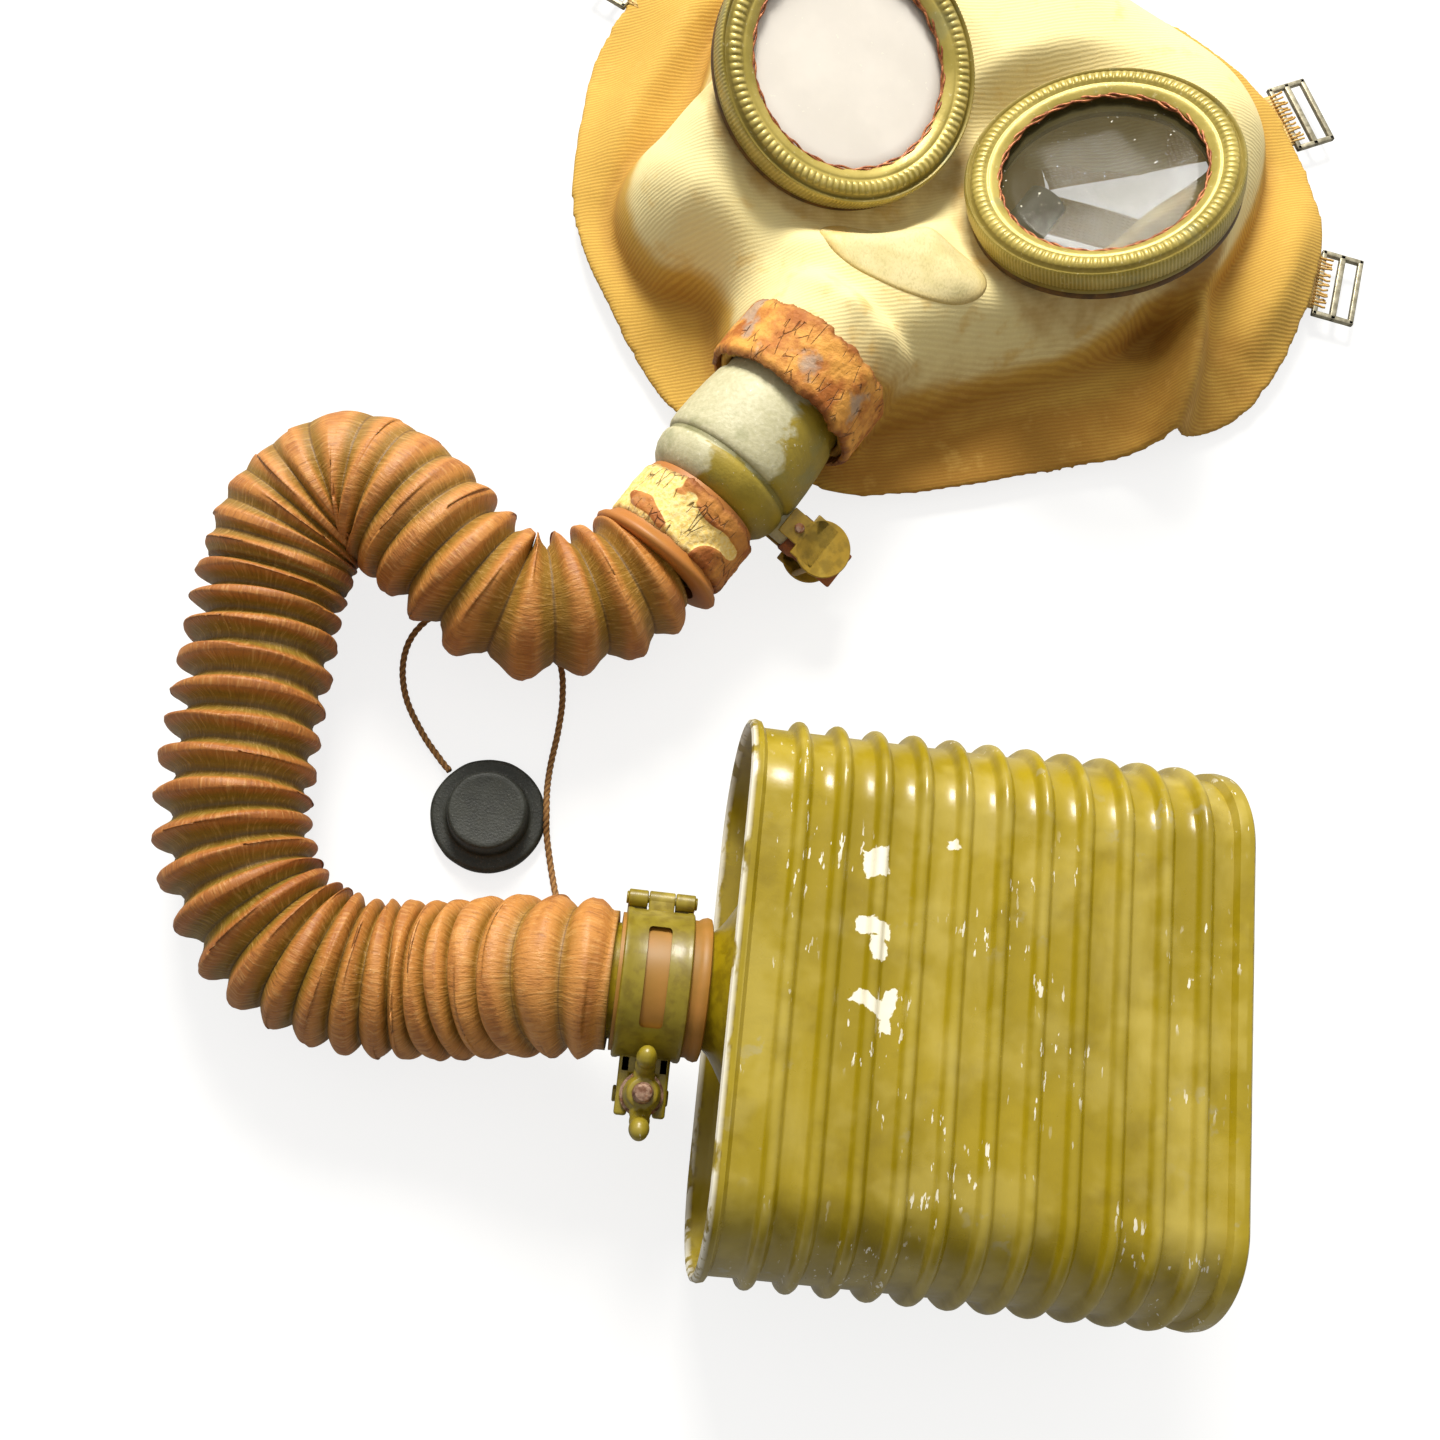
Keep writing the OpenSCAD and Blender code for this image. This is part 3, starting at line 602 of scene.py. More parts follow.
# Brushed olive enamel on sheet metal: a satin gloss, chalky clouds, white chips on rims and ridges
def makePaint(name, tones, wear=0.5, gloss=0.3, marks=False):
    material, tree, surface = newMaterial(name, gloss, Coat_Weight=0.15, Coat_Roughness=0.15)
    grain = (0.0035, 5)
    flecks = mask(tree, [((0.0016, 3, {"stretch": (1, 0.22, 0.5)}), 0.70 - 0.1 * wear, 0.72 - 0.1 * wear),
                         ((0.03, 2), 0.52, 0.62), ("crest", 0.35, 0.7)])
    edge = mask(tree, [("rim",), ((0.006, 4, {"stretch": (1, 0.35, 1)}), 0.42, 0.5)])
    chipped = addNode(tree, "Math", {0: flecks, 1: edge}, operation="MAXIMUM")
    colour = paintLayers(
        tree, tones[0], (1, tones[1], ((0.045, 4), 0.3, 0.7)), (0.5, tones[2], ((0.016, 5), 0.5, 0.72)),
        (0.5, "#BDAA4E", ((0.02, 4, {"stretch": (1, 0.3, 1)}), 0.5, 0.7)),
        # Paler rib crests: partly rubbed paint, partly painted highlight. Darker olive between the ribs: painted shade
        (0.3, "#CDBB62", ("crest", 0.6, 1.0), ((0.02, 3), 0.45, 0.65)),
        # Where no crest is stored, as on the clamp and guard, this dark layer speckles the whole piece
        (0.5, "#6B5708", ("crest", 0.22, 0.0), (grain, 0.4, 0.65)),
        (0.5 * wear, "#A5A596", ((0.009, 5), 0.6, 0.66), ((0.05, 1), 0.55, 0.66)),
        (0.9, "#F2EEDC", (chipped,)))
    if marks:
        colour = paintLayers(tree, colour, (1, "#F7F3DE", (paintedBars(tree),)))
    dress(tree, surface, colour, ((0.012, 4), gloss - 0.1, gloss + 0.22),
          [((0.02, 3), 0.0012, 0.25), (grain, 0.00025, 0.35)])
    return material


# Hand-painted white dabs on the broad side: middle, half width, half length and turn of each
paintBars = [((-35.5, 35.5), (3.4, 3.9), 12), ((-35.0, 17.5), (4.6, 2.2), -8), ((-33.5, 12.0), (2.0, 3.4), 10),
             ((-34.0, -3.6), (5.6, 2.0), -30), ((-29.5, -5.0), (1.6, 6.0), -4), ((-14.5, 43.0), (1.5, 1.7), 20)]


def paintedBars(tree):
    ragged = addNode(tree, "Math", {0: readPattern(tree, (0.0035, 4)), 1: 0.0042, 2: -0.0021}, operation="MULTIPLY_ADD")
    where = addNode(tree, "TexCoord", out="Object")
    height = addNode(tree, "SeparateXYZ", {0: where}, "Z")
    total = 0.0
    for middle, half, turn in paintBars:
        at = canAt + Vector((*middle, 0)) + tableShift
        local = addNode(tree, "Mapping", {"Vector": where, "Location": (at.x * mm, at.y * mm, 0),
                                          "Rotation": (0, 0, math.radians(turn))}, vector_type="TEXTURE")
        size = addNode(tree, "VectorMath", {0: local}, operation="ABSOLUTE")
        past = addNode(tree, "VectorMath", {0: size, 1: (half[0] * mm, half[1] * mm, 0)}, operation="SUBTRACT")
        sides = [addNode(tree, "SeparateXYZ", {0: past}, axis) for axis in "XY"]
        far = addNode(tree, "Math", {0: sides[0], 1: sides[1]}, operation="MAXIMUM")
        far = addNode(tree, "Math", {0: far, 1: ragged}, operation="ADD")
        total = addNode(tree, "Math", {0: total, 1: mask(tree, [(far, 0.0002, -0.0002)])}, operation="MAXIMUM")
    return mask(tree, [(total,), (height, 0.080, 0.083)])


def makeCanister():
    steps = list(canister["neckRim"])
    for i in range(canister["ribs"]):
        middle = canister["first"] + i * canister["pitch"]
        steps += [(middle + dx, canister["core"] + dr) for dx, dr in canister["ribShape"]]
    steps += canister["footRim"]
    piece = drawProfile("canisterShell", steps, 120, canister["wide"])
    capEnds(piece)
    settle(piece, canFrame @ alongX, 40)
    local = localPoints(piece, canFrame)
    flat = np.clip(np.abs(local[:, 1]) - canister["wide"] / 2, 0, None)
    radius = np.hypot(flat, local[:, 2])
    # Crest: 1 on the rib tops, 0 between the ribs; the paint lays painted highlight and painted shade by it
    storeValue(piece, "crest", np.clip((radius - 43) / 3, 0, 1) * (np.abs(local[:, 0]) < 70))
    storeValue(piece, "rim", (local[:, 0] < -71.2) * 1.0 + (local[:, 0] > 71.5) * 0.55)
    return piece


def makeNeck():
    steps = [(-74, 15.6), (-109.6, 15.6), (-110, 16), (-110, 16.7), (-109.5, 17), (-76.4, 17), (-75.4, 17.6),
             (-74, 18.9), (-72.3, 21.2), (-70.5, 24.2), (-68.3, 28), (-66.2, 32), (-64.6, 35.4), (-63.8, 37.5)]
    return capped("canisterNeck", steps, canFrame @ alongX, 96, 40)


def makeInlet():
    steps = [(60, 13), (68.6, 13), (69, 13.4), (69, 16.4), (68.6, 17), (67.8, 17.4)]
    return settle(drawProfile("canisterInlet", steps, 64), canFrame @ alongX, 40)  # open tube


paints = {
    "canister": makePaint("oliveCanisterPaint", ("#94800A", "#A89214", "#7E6A04"), 0.6, 0.26, True),
    "clamp": makePaint("oliveClampPaint", ("#8A7A16", "#9C8A24", "#6E5F0E"), 0.3, 0.34),
}
shell = makeCanister()
cutWith(shell, [capped("drill", [(50, 13), (90, 13)], canFrame @ alongX, 64)])
finish(shell, paints["canister"], "root", ["canister_body"])
finish(makeNeck(), paints["canister"], "root", ["neck_cap"])
finish(makeInlet(), paints["canister"], "root", ["bottom_cap"])
print("canister")


# Rubber stopper

# Moulded rubber that has aged: soft satin with cloudy tones and a dusty bloom
def makeRubber(name, colours, roughness=0.6, dust=0.5):
    cloud, grain = (0.006, 5), (0.0008, 4)
    return makeFinish(name, roughness, colours[0], [
        (1, colours[1], (cloud, 0.35, 0.65)), (dust, colours[2], (grain, 0.6, 0.75))],
        (cloud, roughness - 0.12, roughness + 0.15), [(grain, 0.0004, 0.5)])


def makeStopper():
    frameOf = Matrix.Translation(fromMm((-135, -109, 0)))
    steps = [(0.1, 2), (0.1, 17.6), (0.9, 18.6), (3.6, 18.7), (4.4, 18.1), (4.6, 17.2), (4.3, 15.2), (4.4, 13.9),
             (5.2, 13.3), (11.6, 12.9), (12.7, 12.4), (13, 11.6), (12.8, 10.5), (12.75, 2)]
    piece = capped("rubberStopper", steps, None, 96, 50)
    for vertex in piece.data.vertices:
        vertex.co *= 1 + 0.012 * noise.noise(vertex.co * 160)
    piece.data.transform(frameOf)
    piece.data.materials.clear()
    return finish(piece, makeRubber("greenBlackRubber", ("#1F221B", "#2E312A", "#6E6E66"), 0.55),
                  "root", ["stopper"])


makeString(makeStopper())
print("stopper")


# Facepiece: one moulded sheet whose height is worked out in the mask's own frame

face = {
    "skirt": [(-58, -118), (-22, -125), (15, -122), (45, -103), (71, -82), (96, -61), (115, -43), (128, -28), (135, -11),
              (136, 20), (128, 60), (100, 96), (55, 113), (0, 117), (-60, 113), (-105, 92), (-134, 48),
              (-142, 5), (-137, -23), (-122, -62), (-100, -87)],
    "foot": [(-98, -9), (-97, -20), (-102, -35), (-106, -50), (-103, -66), (-92, -79), (-76, -86), (-62, -83),
             (-53, -86), (-46, -97), (-34, -110), (-14, -112), (10, -102), (24, -90), (35, -77), (45, -66),
             (56, -56), (66, -46), (74, -35), (81, -23), (86, -12), (92, -4), (99, 8), (104, 28), (104, 55), (96, 80),
             (72, 97), (30, 103), (-30, 103), (-75, 96), (-98, 74), (-105, 45), (-103, 15)],
    "rings": 116, "columns": 400, "thick": 2.8, "voxel": 1.5,
    # Folds of the skirt: their line, height and width
    "folds": [([(94, 22), (97, 4), (102, -14), (106, -32), (109, -50), (106, -66)], 21, 6.5),
              ([(-104, 60), (-116, 20), (-118, -20), (-112, -55)], 7, 9),
              ([(118, 60), (122, 20), (120, -5)], 8, 10), ([(80, -22), (87, -12), (90, -2)], -8, 7)],
    # Rounded bumps of the crown: middle, height and the two widths
    "bumps": [(-3, -60, 7, 34, 26), (-70, -62, 3, 22, 16), (-45, -72, -5, 12, 18), (2, -10, -4, 16, 25)],
    "creases": [([(28, -62), (52, -44), (72, -26)], 1.6, 4), ([(20, -78), (44, -58), (62, -40)], 1.2, 5),
                ([(-62, -52), (-44, -64), (-34, -76)], 2.0, 6)],
}


def closedCurve(points, count):
    ring = list(points)
    line = []
    for i in range(len(ring)):
        a, b, c, d = (np.array(ring[(i + k) % len(ring)], float) for k in (-1, 0, 1, 2))
        for t in np.linspace(0, 1, 16, endpoint=False):
            line.append(splineAt(a, b, c, d, t))
    line = np.array(line)
    angle = np.unwrap(np.arctan2(line[:, 1], line[:, 0]))
    if angle[-1] < angle[0]:
        line, angle = line[::-1], angle[::-1]
    wanted = np.linspace(0, 2 * math.pi, count, endpoint=False)
    reach = np.hypot(line[:, 0], line[:, 1])
    order = np.argsort(np.mod(angle, 2 * math.pi))
    reach = np.interp(wanted, np.mod(angle, 2 * math.pi)[order], reach[order], period=2 * math.pi)
    return np.stack([reach * np.cos(wanted), reach * np.sin(wanted)], axis=1)


def insideDistance(x, y, ring):
    nearest = np.full(x.shape, 1e9)
    inside = np.zeros(x.shape, bool)
    for a, b in zip(ring, np.roll(ring, -1, axis=0)):
        dx, dy = b - a
        t = np.clip(((x - a[0]) * dx + (y - a[1]) * dy) / (dx * dx + dy * dy), 0, 1)
        nearest = np.minimum(nearest, np.hypot(x - a[0] - t * dx, y - a[1] - t * dy))
        if dy:
            cross = (a[1] > y) != (b[1] > y)
            inside ^= cross & (x < a[0] + (y - a[1]) * dx / dy)
    return np.where(inside, nearest, -nearest)


def lineDistance(x, y, points):
    nearest, along = np.full(x.shape, 1e9), np.zeros(x.shape)
    for i, (a, b) in enumerate(zip(points, points[1:])):
        dx, dy = b[0] - a[0], b[1] - a[1]
        t = np.clip(((x - a[0]) * dx + (y - a[1]) * dy) / (dx * dx + dy * dy), 0, 1)
        away = np.hypot(x - a[0] - t * dx, y - a[1] - t * dy)
        along = np.where(away < nearest, (i + t) / (len(points) - 1), along)
        nearest = np.minimum(nearest, away)
    return nearest, along


def fold(x, y, points, height, width):
    away, along = lineDistance(x, y, points)
    return height * np.exp(-(away / width) ** 2) * np.sin(np.pi * np.clip(along * 0.9 + 0.05, 0, 1)) ** 0.6


def smooth(low, high, value):
    t = np.clip((value - low) / (high - low), 0, 1)
    return t * t * (3 - 2 * t)


footRing = closedCurve(face["foot"], 220)
backToMask = maskFrame.inverted()
chinAxis = {"at": np.array(backToMask @ tubeFrame.translation) / mm,
            "ahead": np.array(backToMask.to_3x3() @ tubeFrame.to_3x3() @ Vector((0, 0, 1)))}


def faceHeight(x, y):
    inside = insideDistance(x, y, footRing)
    skirt = (4.6 + 1.3 * np.sin(0.055 * x + 0.04 * y) + 1.0 * np.sin(0.09 * y - 0.03 * x + 1)
             + 5.5 * smooth(-60, -8, inside) + 1.5 * np.sin(0.12 * x + 1.5) * smooth(-10, -40, inside))
    for points, height, width in face["folds"]:
        skirt = skirt + fold(x, y, points, height, width)
    skirt = skirt + 4.0 * smooth(100, 128, x) * smooth(-20, 30, y)
    top = 49
    for mx, my, height, wide, tall in face["bumps"]:
        top = top + height * np.exp(-((x - mx) / wide) ** 2 - ((y - my) / tall) ** 2)
    for eye in eyes.values():
        ex, ey, ez = eye["at"]
        away = np.hypot(x - ex, y - ey)
        n = eye["normal"]
        plane = ez - 3.4 / n.z - (n.x * (x - ex) + n.y * (y - ey)) / n.z
        near = 1 - smooth(45.5, 64, away)
        top = top + (plane - top) * near
    slope = np.clip(inside / (30 + 10 * smooth(0, 60, x)), 0, 1)
    rise = (1 - (1 - slope) ** 2.5) ** 0.82
    z = skirt + (top - skirt) * rise
    ahead = chinAxis["ahead"]
    flat = ahead[:2] / np.hypot(*ahead[:2])
    along = (x - chinAxis["at"][0]) * flat[0] + (y - chinAxis["at"][1]) * flat[1]
    off = (x - chinAxis["at"][0]) * -flat[1] + (y - chinAxis["at"][1]) * flat[0]
    radius = 26.4 + 6 * smooth(-5, -45, along)
    crown = (chinAxis["at"][2] + along * ahead[2] / np.hypot(*ahead[:2])
             + np.sqrt(np.clip(radius ** 2 - off ** 2, 0, None)))
    crown = np.where(np.abs(off) < radius, crown, 0) * (1 - smooth(2, 9, along)) * smooth(-44, -10, along)
    k = 5.0
    blend = np.clip(0.5 + 0.5 * (crown - z) / k, 0, 1)
    z = z + (crown - z) * blend + k * blend * (1 - blend)
    z = z + 0.6 * np.sin(0.42 * off + 0.6) * np.exp(-((along + 14) / 10) ** 2) * smooth(30, 16, np.abs(off))
    for points, depth, width in face["creases"]:
        z = z - fold(x, y, points, depth, width)
    z = z + 0.9 * np.sin(0.11 * x + 0.07 * y + 2) * smooth(8, 30, inside)
    return np.maximum(z, 3.3)


def makeSlab():
    rim = closedCurve(face["skirt"], face["columns"])
    angles = np.arange(face["columns"]) * 2 * math.pi / face["columns"]
    ragged = 1 + 0.003 * np.sin(7 * angles) + 0.0015 * np.sin(31 * angles + 1)
    shares = np.linspace(0.004, 1, face["rings"])
    x = (shares[:, None] * rim[None, :, 0] * (1 + (ragged - 1) * shares[:, None])).ravel()
    y = (shares[:, None] * rim[None, :, 1] * (1 + (ragged - 1) * shares[:, None])).ravel()
    z = faceHeight(x, y)
    faces = gridFaces(face["rings"] - 1, face["columns"], flipped=True) + [tuple(range(face["columns"]))]
    return thicken(meshPiece("facepiece", np.stack([x, y, z], axis=1) * mm, faces), face["thick"])


# Crumpled lining hanging from the roof behind the right glass
def makeInnerFold():
    rows, columns = 30, 60
    points = []
    for i in range(rows + 1):
        for k in range(columns + 1):
            s, t = k / columns, i / rows
            ragged = 2.6 * noise.noise(Vector((s * 4, 0.3, 7))) * (1 - t)
            x = 20 + 46 * s - 12 * t - ragged * 0.6
            y = 18 + 24 * s + 26 * t + ragged
            z = (25 + 9 * t ** 1.4 + 2.2 * math.sin(7 * s + 2 * t) * (1 - t)
                 + 1.5 * noise.noise(Vector((s * 3, t * 3, 2))))
            points.append((x, y, z))
    piece = thicken(meshPiece("innerFold", np.array(points) * mm, gridFaces(rows, columns, closed=False)), 1.2)
    piece.data.transform(maskFrame)
    return piece


def makeFace():
    slab = makeSlab()
    slab.data.transform(maskFrame)
    sleeve = turned("sleeve", [(-6, 26.3), (19.4, 26.3), (20, 25.8), (20, 22.8), (-6, 22.8), (-6, 26.3)], tubeFrame,
                    96, 30)
    piece = join([slab, sleeve], "facepiece")
    melt(piece, face["voxel"], 5)
    cutWith(piece, [capped("hole", [(-9, 37.8), (8, 37.8)], eye["frame"]) for eye in eyes.values()]
            + [capped("hole", [(-9, 22.4), (40, 22.4)], tubeFrame, 64)])
    outer = len(piece.data.vertices)
    piece = join([piece, makeInnerFold()], "facepiece")
    piece.data.polygons.foreach_set("use_smooth", [True] * len(piece.data.polygons))
    at = localPoints(piece, maskFrame)
    x, y, z = at[:, 0], at[:, 1], at[:, 2]
    inside = insideDistance(x, y, footRing)
    # Cream: raised parts paler, partly the knit's own cream and partly a painted highlight on the upper surfaces
    lifted = smooth(12, 34, z) * smooth(-2, 8, inside)
    # Warm: painted shade, darker under the chin roll, in the right-hand crease, on the skirt below it and round the eye
    # rings
    warm = (0.75 * fold(x, y, [(88, -60), (60, -78), (20, -104), (-10, -116)], 1, 26)
            + 0.6 * fold(x, y, [(86, -22), (92, 0), (94, 14)], 1, 9)
            + 0.55 * smooth(-4, -16, inside) * smooth(40, -10, y) * smooth(-20, 60, x))
    for eye in eyes.values():
        away = np.hypot(x - eye["at"][0], y - eye["at"][1])
        warm = warm + 0.55 * smooth(53, 47, away) * smooth(20, 40, z)
    # Pit: painted shade, a dark band along the foot of the crown where it meets the skirt
    pit = smooth(7, 1, np.abs(inside)) * smooth(26, 11, z)
    # The lining gets cream 0.6, a painted brightening for light through the thin cloth, and no painted shade
    lifted[outer:], warm[outer:] = 0.6, 0
    storeValue(piece, "cream", np.clip(lifted, 0, 1))
    storeValue(piece, "warm", np.clip(warm, 0, 1))
    storeValue(piece, "pit", np.clip(pit, 0, 1))
    return piece


# Cotton stockinette bonded to moulded rubber: matt, with fine rows. They are drawn about 1.3 mm apart,
# coarser than real ones, so that they show
def makeKnit(name, tan, cream, brown, stain):
    material, tree, surface = newMaterial(name, 0.86)
    row = addNode(tree, "TexWave", {"Vector": layOut(tree, turn=-16), "Scale": 250.0, "Distortion": 2.4, "Detail": 2.0,
                                    "Detail Scale": 0.6}, "Fac", bands_direction="Y")
    threads = mask(tree, [(row,), ((0.0008, 2, {"stretch": (1, 0.55, 1), "turn": -16}),)])
    creamy, blotch = stir(tree, "cream", (0.035, 5), 1.3), (0.011, 5)
    # The rows show less on the cream parts, which are worn and painted paler
    faint = addNode(tree, "Math", {0: readPattern(tree, "cream"), 1: -0.28, 2: 0.34}, operation="MULTIPLY_ADD")
    # The cream mix is partly a painted highlight; the brown laid by warm and the dark laid by pit are painted shade
    colour = paintLayers(
        tree, tan, (1, cream, (creamy, 0.25, 0.85)), (0.85, brown, (stir(tree, "warm", blotch, 0.9), 0.15, 0.95)),
        (0.4, stain, (blotch, 0.56, 0.72)), (0.4, "#94601C", ("pit",)),
        (1, "#9A6322", (threads, 0.34, 0.12), (faint,)))
    dress(tree, surface, colour, None, [(threads, 0.0004, 0.35), ((0.03, 3), 0.003, 0.25)])
    return material


faceKnit = makeKnit("tanStockinette", "#D0A848", "#EFDFA2", "#A87826", "#DFB65A")
knitFace = finish(makeFace(), faceKnit, "root", ["facepiece"])
print("facepiece")


def makePatch():
    angles = np.linspace(0, 2 * math.pi, 96, endpoint=False)
    turn = math.radians(6)
    shares = np.linspace(0.02, 1, 26)
    points = []
    for share in shares:
        for a in angles:
            u = 30 * math.cos(a) * share * (1 + 0.03 * math.sin(3 * a))
            v = 16 * math.sin(a) * share * (1 + 0.05 * math.sin(2 * a + 1))
            points.append((-1 + u * math.cos(turn) - v * math.sin(turn), -53 + u * math.sin(turn) + v * math.cos(turn)))
    points = np.array(points)
    tree = BVHTree.FromPolygons([v.co for v in knitFace.data.vertices], [p.vertices[:] for p in knitFace.data.polygons])
    down = maskFrame.to_3x3() @ Vector((0, 0, -1))
    hits = [tree.ray_cast(maskFrame @ Vector((x * mm, y * mm, 0.1)), down)[0] for x, y in points]
    z = np.array([(backToMask @ hit).z / mm + 0.55 for hit in hits])
    edge = np.repeat(shares, len(angles))
    z = z - 0.8 * (edge > 0.995)
    faces = gridFaces(len(shares) - 1, len(angles), flipped=True) + [tuple(range(len(angles)))]
    piece = meshPiece("nosePatch", np.column_stack([points, z]) * mm, faces)
    piece.data.transform(maskFrame)
    storeValue(piece, "rim", np.clip((edge - 0.85) / 0.15, 0, 1))
    local = localPoints(piece, maskFrame)
    storeValue(piece, "warm", smooth(-14, -32, local[:, 0]))
    thicken(piece, 0.7)
    # Fine woven cloth glued on: matt, stained at its outer end
    weave = (0.0007, 2, {"stretch": (1, 0.5, 1), "turn": 40})
    cloth = makeFinish("patchCloth", 0.85, "#CBBE84", [
        (1, "#DCCD98", ((0.012, 4), 0.35, 0.65)), (0.8, "#E2B256", ("warm",), ((0.008, 4), 0.4, 0.55)),
        (0.6, "#C9A855", ("rim",)), (0.25, "#A89A60", (weave, 0.5, 0.35))], bumps=[(weave, 0.0004, 0.5)])
    return finish(piece, cloth, "root", ["nose_patch"])


makePatch()


# Screw-ring eyepieces, turned as profiles in each eye's own frame

eyepiece = {
    "bezel": [(2.4, 43.1), (2.4, 45.9), (2.9, 46.5), (8.4, 46.5), (9.2, 46.2), (9.6, 45.7), (9.4, 45.1), (8.8, 44.7),
              (9.0, 44.2), (9.9, 43.8), (10.7, 43.1), (11.15, 42.1), (11.25, 41.2), (11.15, 40.3), (10.7, 39.5),
              (10.0, 38.9), (9.75, 38.5), (9.9, 38.1), (9.9, 37.6), (9.3, 36.4), (8.6, 35.2), (8.2, 34.7), (7.7, 34.5),
              (7.6, 36), (7.7, 43.1), (2.4, 43.1)],
    "flutes": 112, "columns": 8, "fluteDepth": 0.75, "millDepth": 0.42,
    "frame": [(0, 35.2), (0, 45.7), (1.5, 45.8), (2, 45.5), (2.05, 43.2), (7.3, 42.9), (7.4, 38), (7.2, 37.1), (2, 37),
              (2, 35.2), (0, 35.2)],
    "seat": [(-3.1, 36.2), (-3.1, 45.2), (-2.4, 45.8), (-0.8, 45.7), (-0.1, 45.0), (-0.1, 36.2), (-3.1, 36.2)],
    "lens": [(2.1, 2), (2.1, 36.4), (2.4, 36.8), (5.0, 36.8), (5.35, 36.4), (5.55, 30), (5.7, 18), (5.75, 2)],
    "wires": [(7.6, 34.2, 0.0), (8.05, 34.75, 2.1), (7.75, 35.2, 4.2)],
}


def makeBezel(side, eye, material):
    count = eyepiece["flutes"] * eyepiece["columns"]
    piece = turned("screwRing" + side.title(), eyepiece["bezel"], None, count, 55)
    points = localPoints(piece, Matrix.Identity(4))
    radius, angle = np.hypot(points[:, 0], points[:, 1]), np.arctan2(points[:, 1], points[:, 0])
    share = np.mod(angle * eyepiece["flutes"] / (2 * math.pi), 1)
    ridge = np.abs(np.sin(np.pi * share))
    crown = smooth(39.2, 40.0, radius) * smooth(43.6, 42.8, radius) * (points[:, 2] > 9.5)
    points[:, 2] -= eyepiece["fluteDepth"] * crown * (1 - ridge ** 0.55)
    mill = np.abs(np.sin(2 * np.pi * share)) ** 0.8
    wall = (radius > 46.1) * (points[:, 2] > 2.5)
    shrink = 1 - wall * eyepiece["millDepth"] * (1 - mill) / radius
    points[:, :2] *= shrink[:, None]
    piece.data.vertices.foreach_set("co", (points * mm).ravel())
    # Crest: flute ridges, knurl crests and half on the inner bevel; the ring paint lays painted highlight and shade by
    # it
    storeValue(piece, "crest", np.clip(crown * ridge + wall * mill + (radius < 39) * 0.5, 0, 1))
    storeValue(piece, "rim", np.clip((radius > 45) * (points[:, 2] > 9.0) * 0.5, 0, 1))
    piece.data.transform(eye["frame"])
    finish(piece, material, "bezel_" + side, ["bezel_" + side])


def makeWires(side, eye, material):
    rings = []
    for i, (height, radius, start) in enumerate(eyepiece["wires"]):
        deselectAll()
        bpy.ops.mesh.primitive_torus_add(major_segments=300, minor_segments=8, major_radius=radius * mm,
                                         minor_radius=0.42 * mm)
        ring = bpy.context.object
        for vertex in ring.data.vertices:
            a = math.atan2(vertex.co.y, vertex.co.x)
            wobble = noise.noise(Vector((math.cos(a) * 5 + start, math.sin(a) * 5, start))) * 0.5
            push = 0.35 * math.sin(23 * a + start) + wobble
            scale = 1 + push * mm / (radius * mm)
            vertex.co.x *= scale
            vertex.co.y *= scale
            vertex.co.z += (height + 0.3 * math.cos(23 * a + start) + 0.3 * wobble) * mm
        rings.append(ring)
    piece = join(rings, "wireRing" + side.title())
    settle(piece, eye["frame"], 60)
    finish(piece, material, "ring_" + side, ["lens_ring_" + side])


# Tarnished copper wire: dull brown with warm glints
def makeWireMaterial():
    grain = (0.0018, 4)
    return makeFinish("tarnishedCopper", 0.45, "#7A3A1C", [(1, "#C07A4C", (grain, 0.35, 0.62))],
                      bumps=[(grain, 0.0003, 0.5)], Metallic=0.35)


# Thin olive lacquer on milled brass: bright on the crests, partly rubbed and partly painted highlight; painted shade in
# the cuts
def makeRingPaint():
    cloud, grain = (0.012, 4), (0.0014, 4)
    return makeFinish("oliveBrass", 0.36, "#A39240", [
        (1, "#BCA956", (cloud, 0.3, 0.7)), (0.45, "#E0CE82", ("crest", 0.6, 1.0)),
        # Pieces that store no crest, such as the eye collars, get this dark layer all over
        (0.55, "#6B5B1C", ("crest", 0.30, 0.0)), (0.35, "#F0E6B8", (grain, 0.62, 0.72)),
        (0.3, "#7E8A70", ((0.02, 5), 0.6, 0.7))],
        (cloud, 0.28, 0.48), [(grain, 0.0002, 0.35)], Metallic=0.25)


# Old eyepiece glass: glossy, hazed, with specks of dust
def makeGlass(name, haze, amount, low):
    material, tree, surface = newMaterial(name, 0.12)
    cloud, specks = (0.03, 4), mask(tree, [((0.0016, 3), 0.7, 0.75)])
    cover = addNode(tree, "Math", {0: mask(tree, [(cloud, 0.3, 0.7)]), 1: amount, 2: low}, operation="MULTIPLY_ADD")
    cover = addNode(tree, "Math", {0: cover, 1: specks}, operation="ADD", use_clamp=True)
    tree.links.new(cover, surface.inputs["Alpha"])
    surface.inputs["IOR"].default_value = 1.3
    dress(tree, surface, paintLayers(tree, haze, (1, "#F2EFE0", (specks,))), (cloud, 0.04, 0.2))
    return material


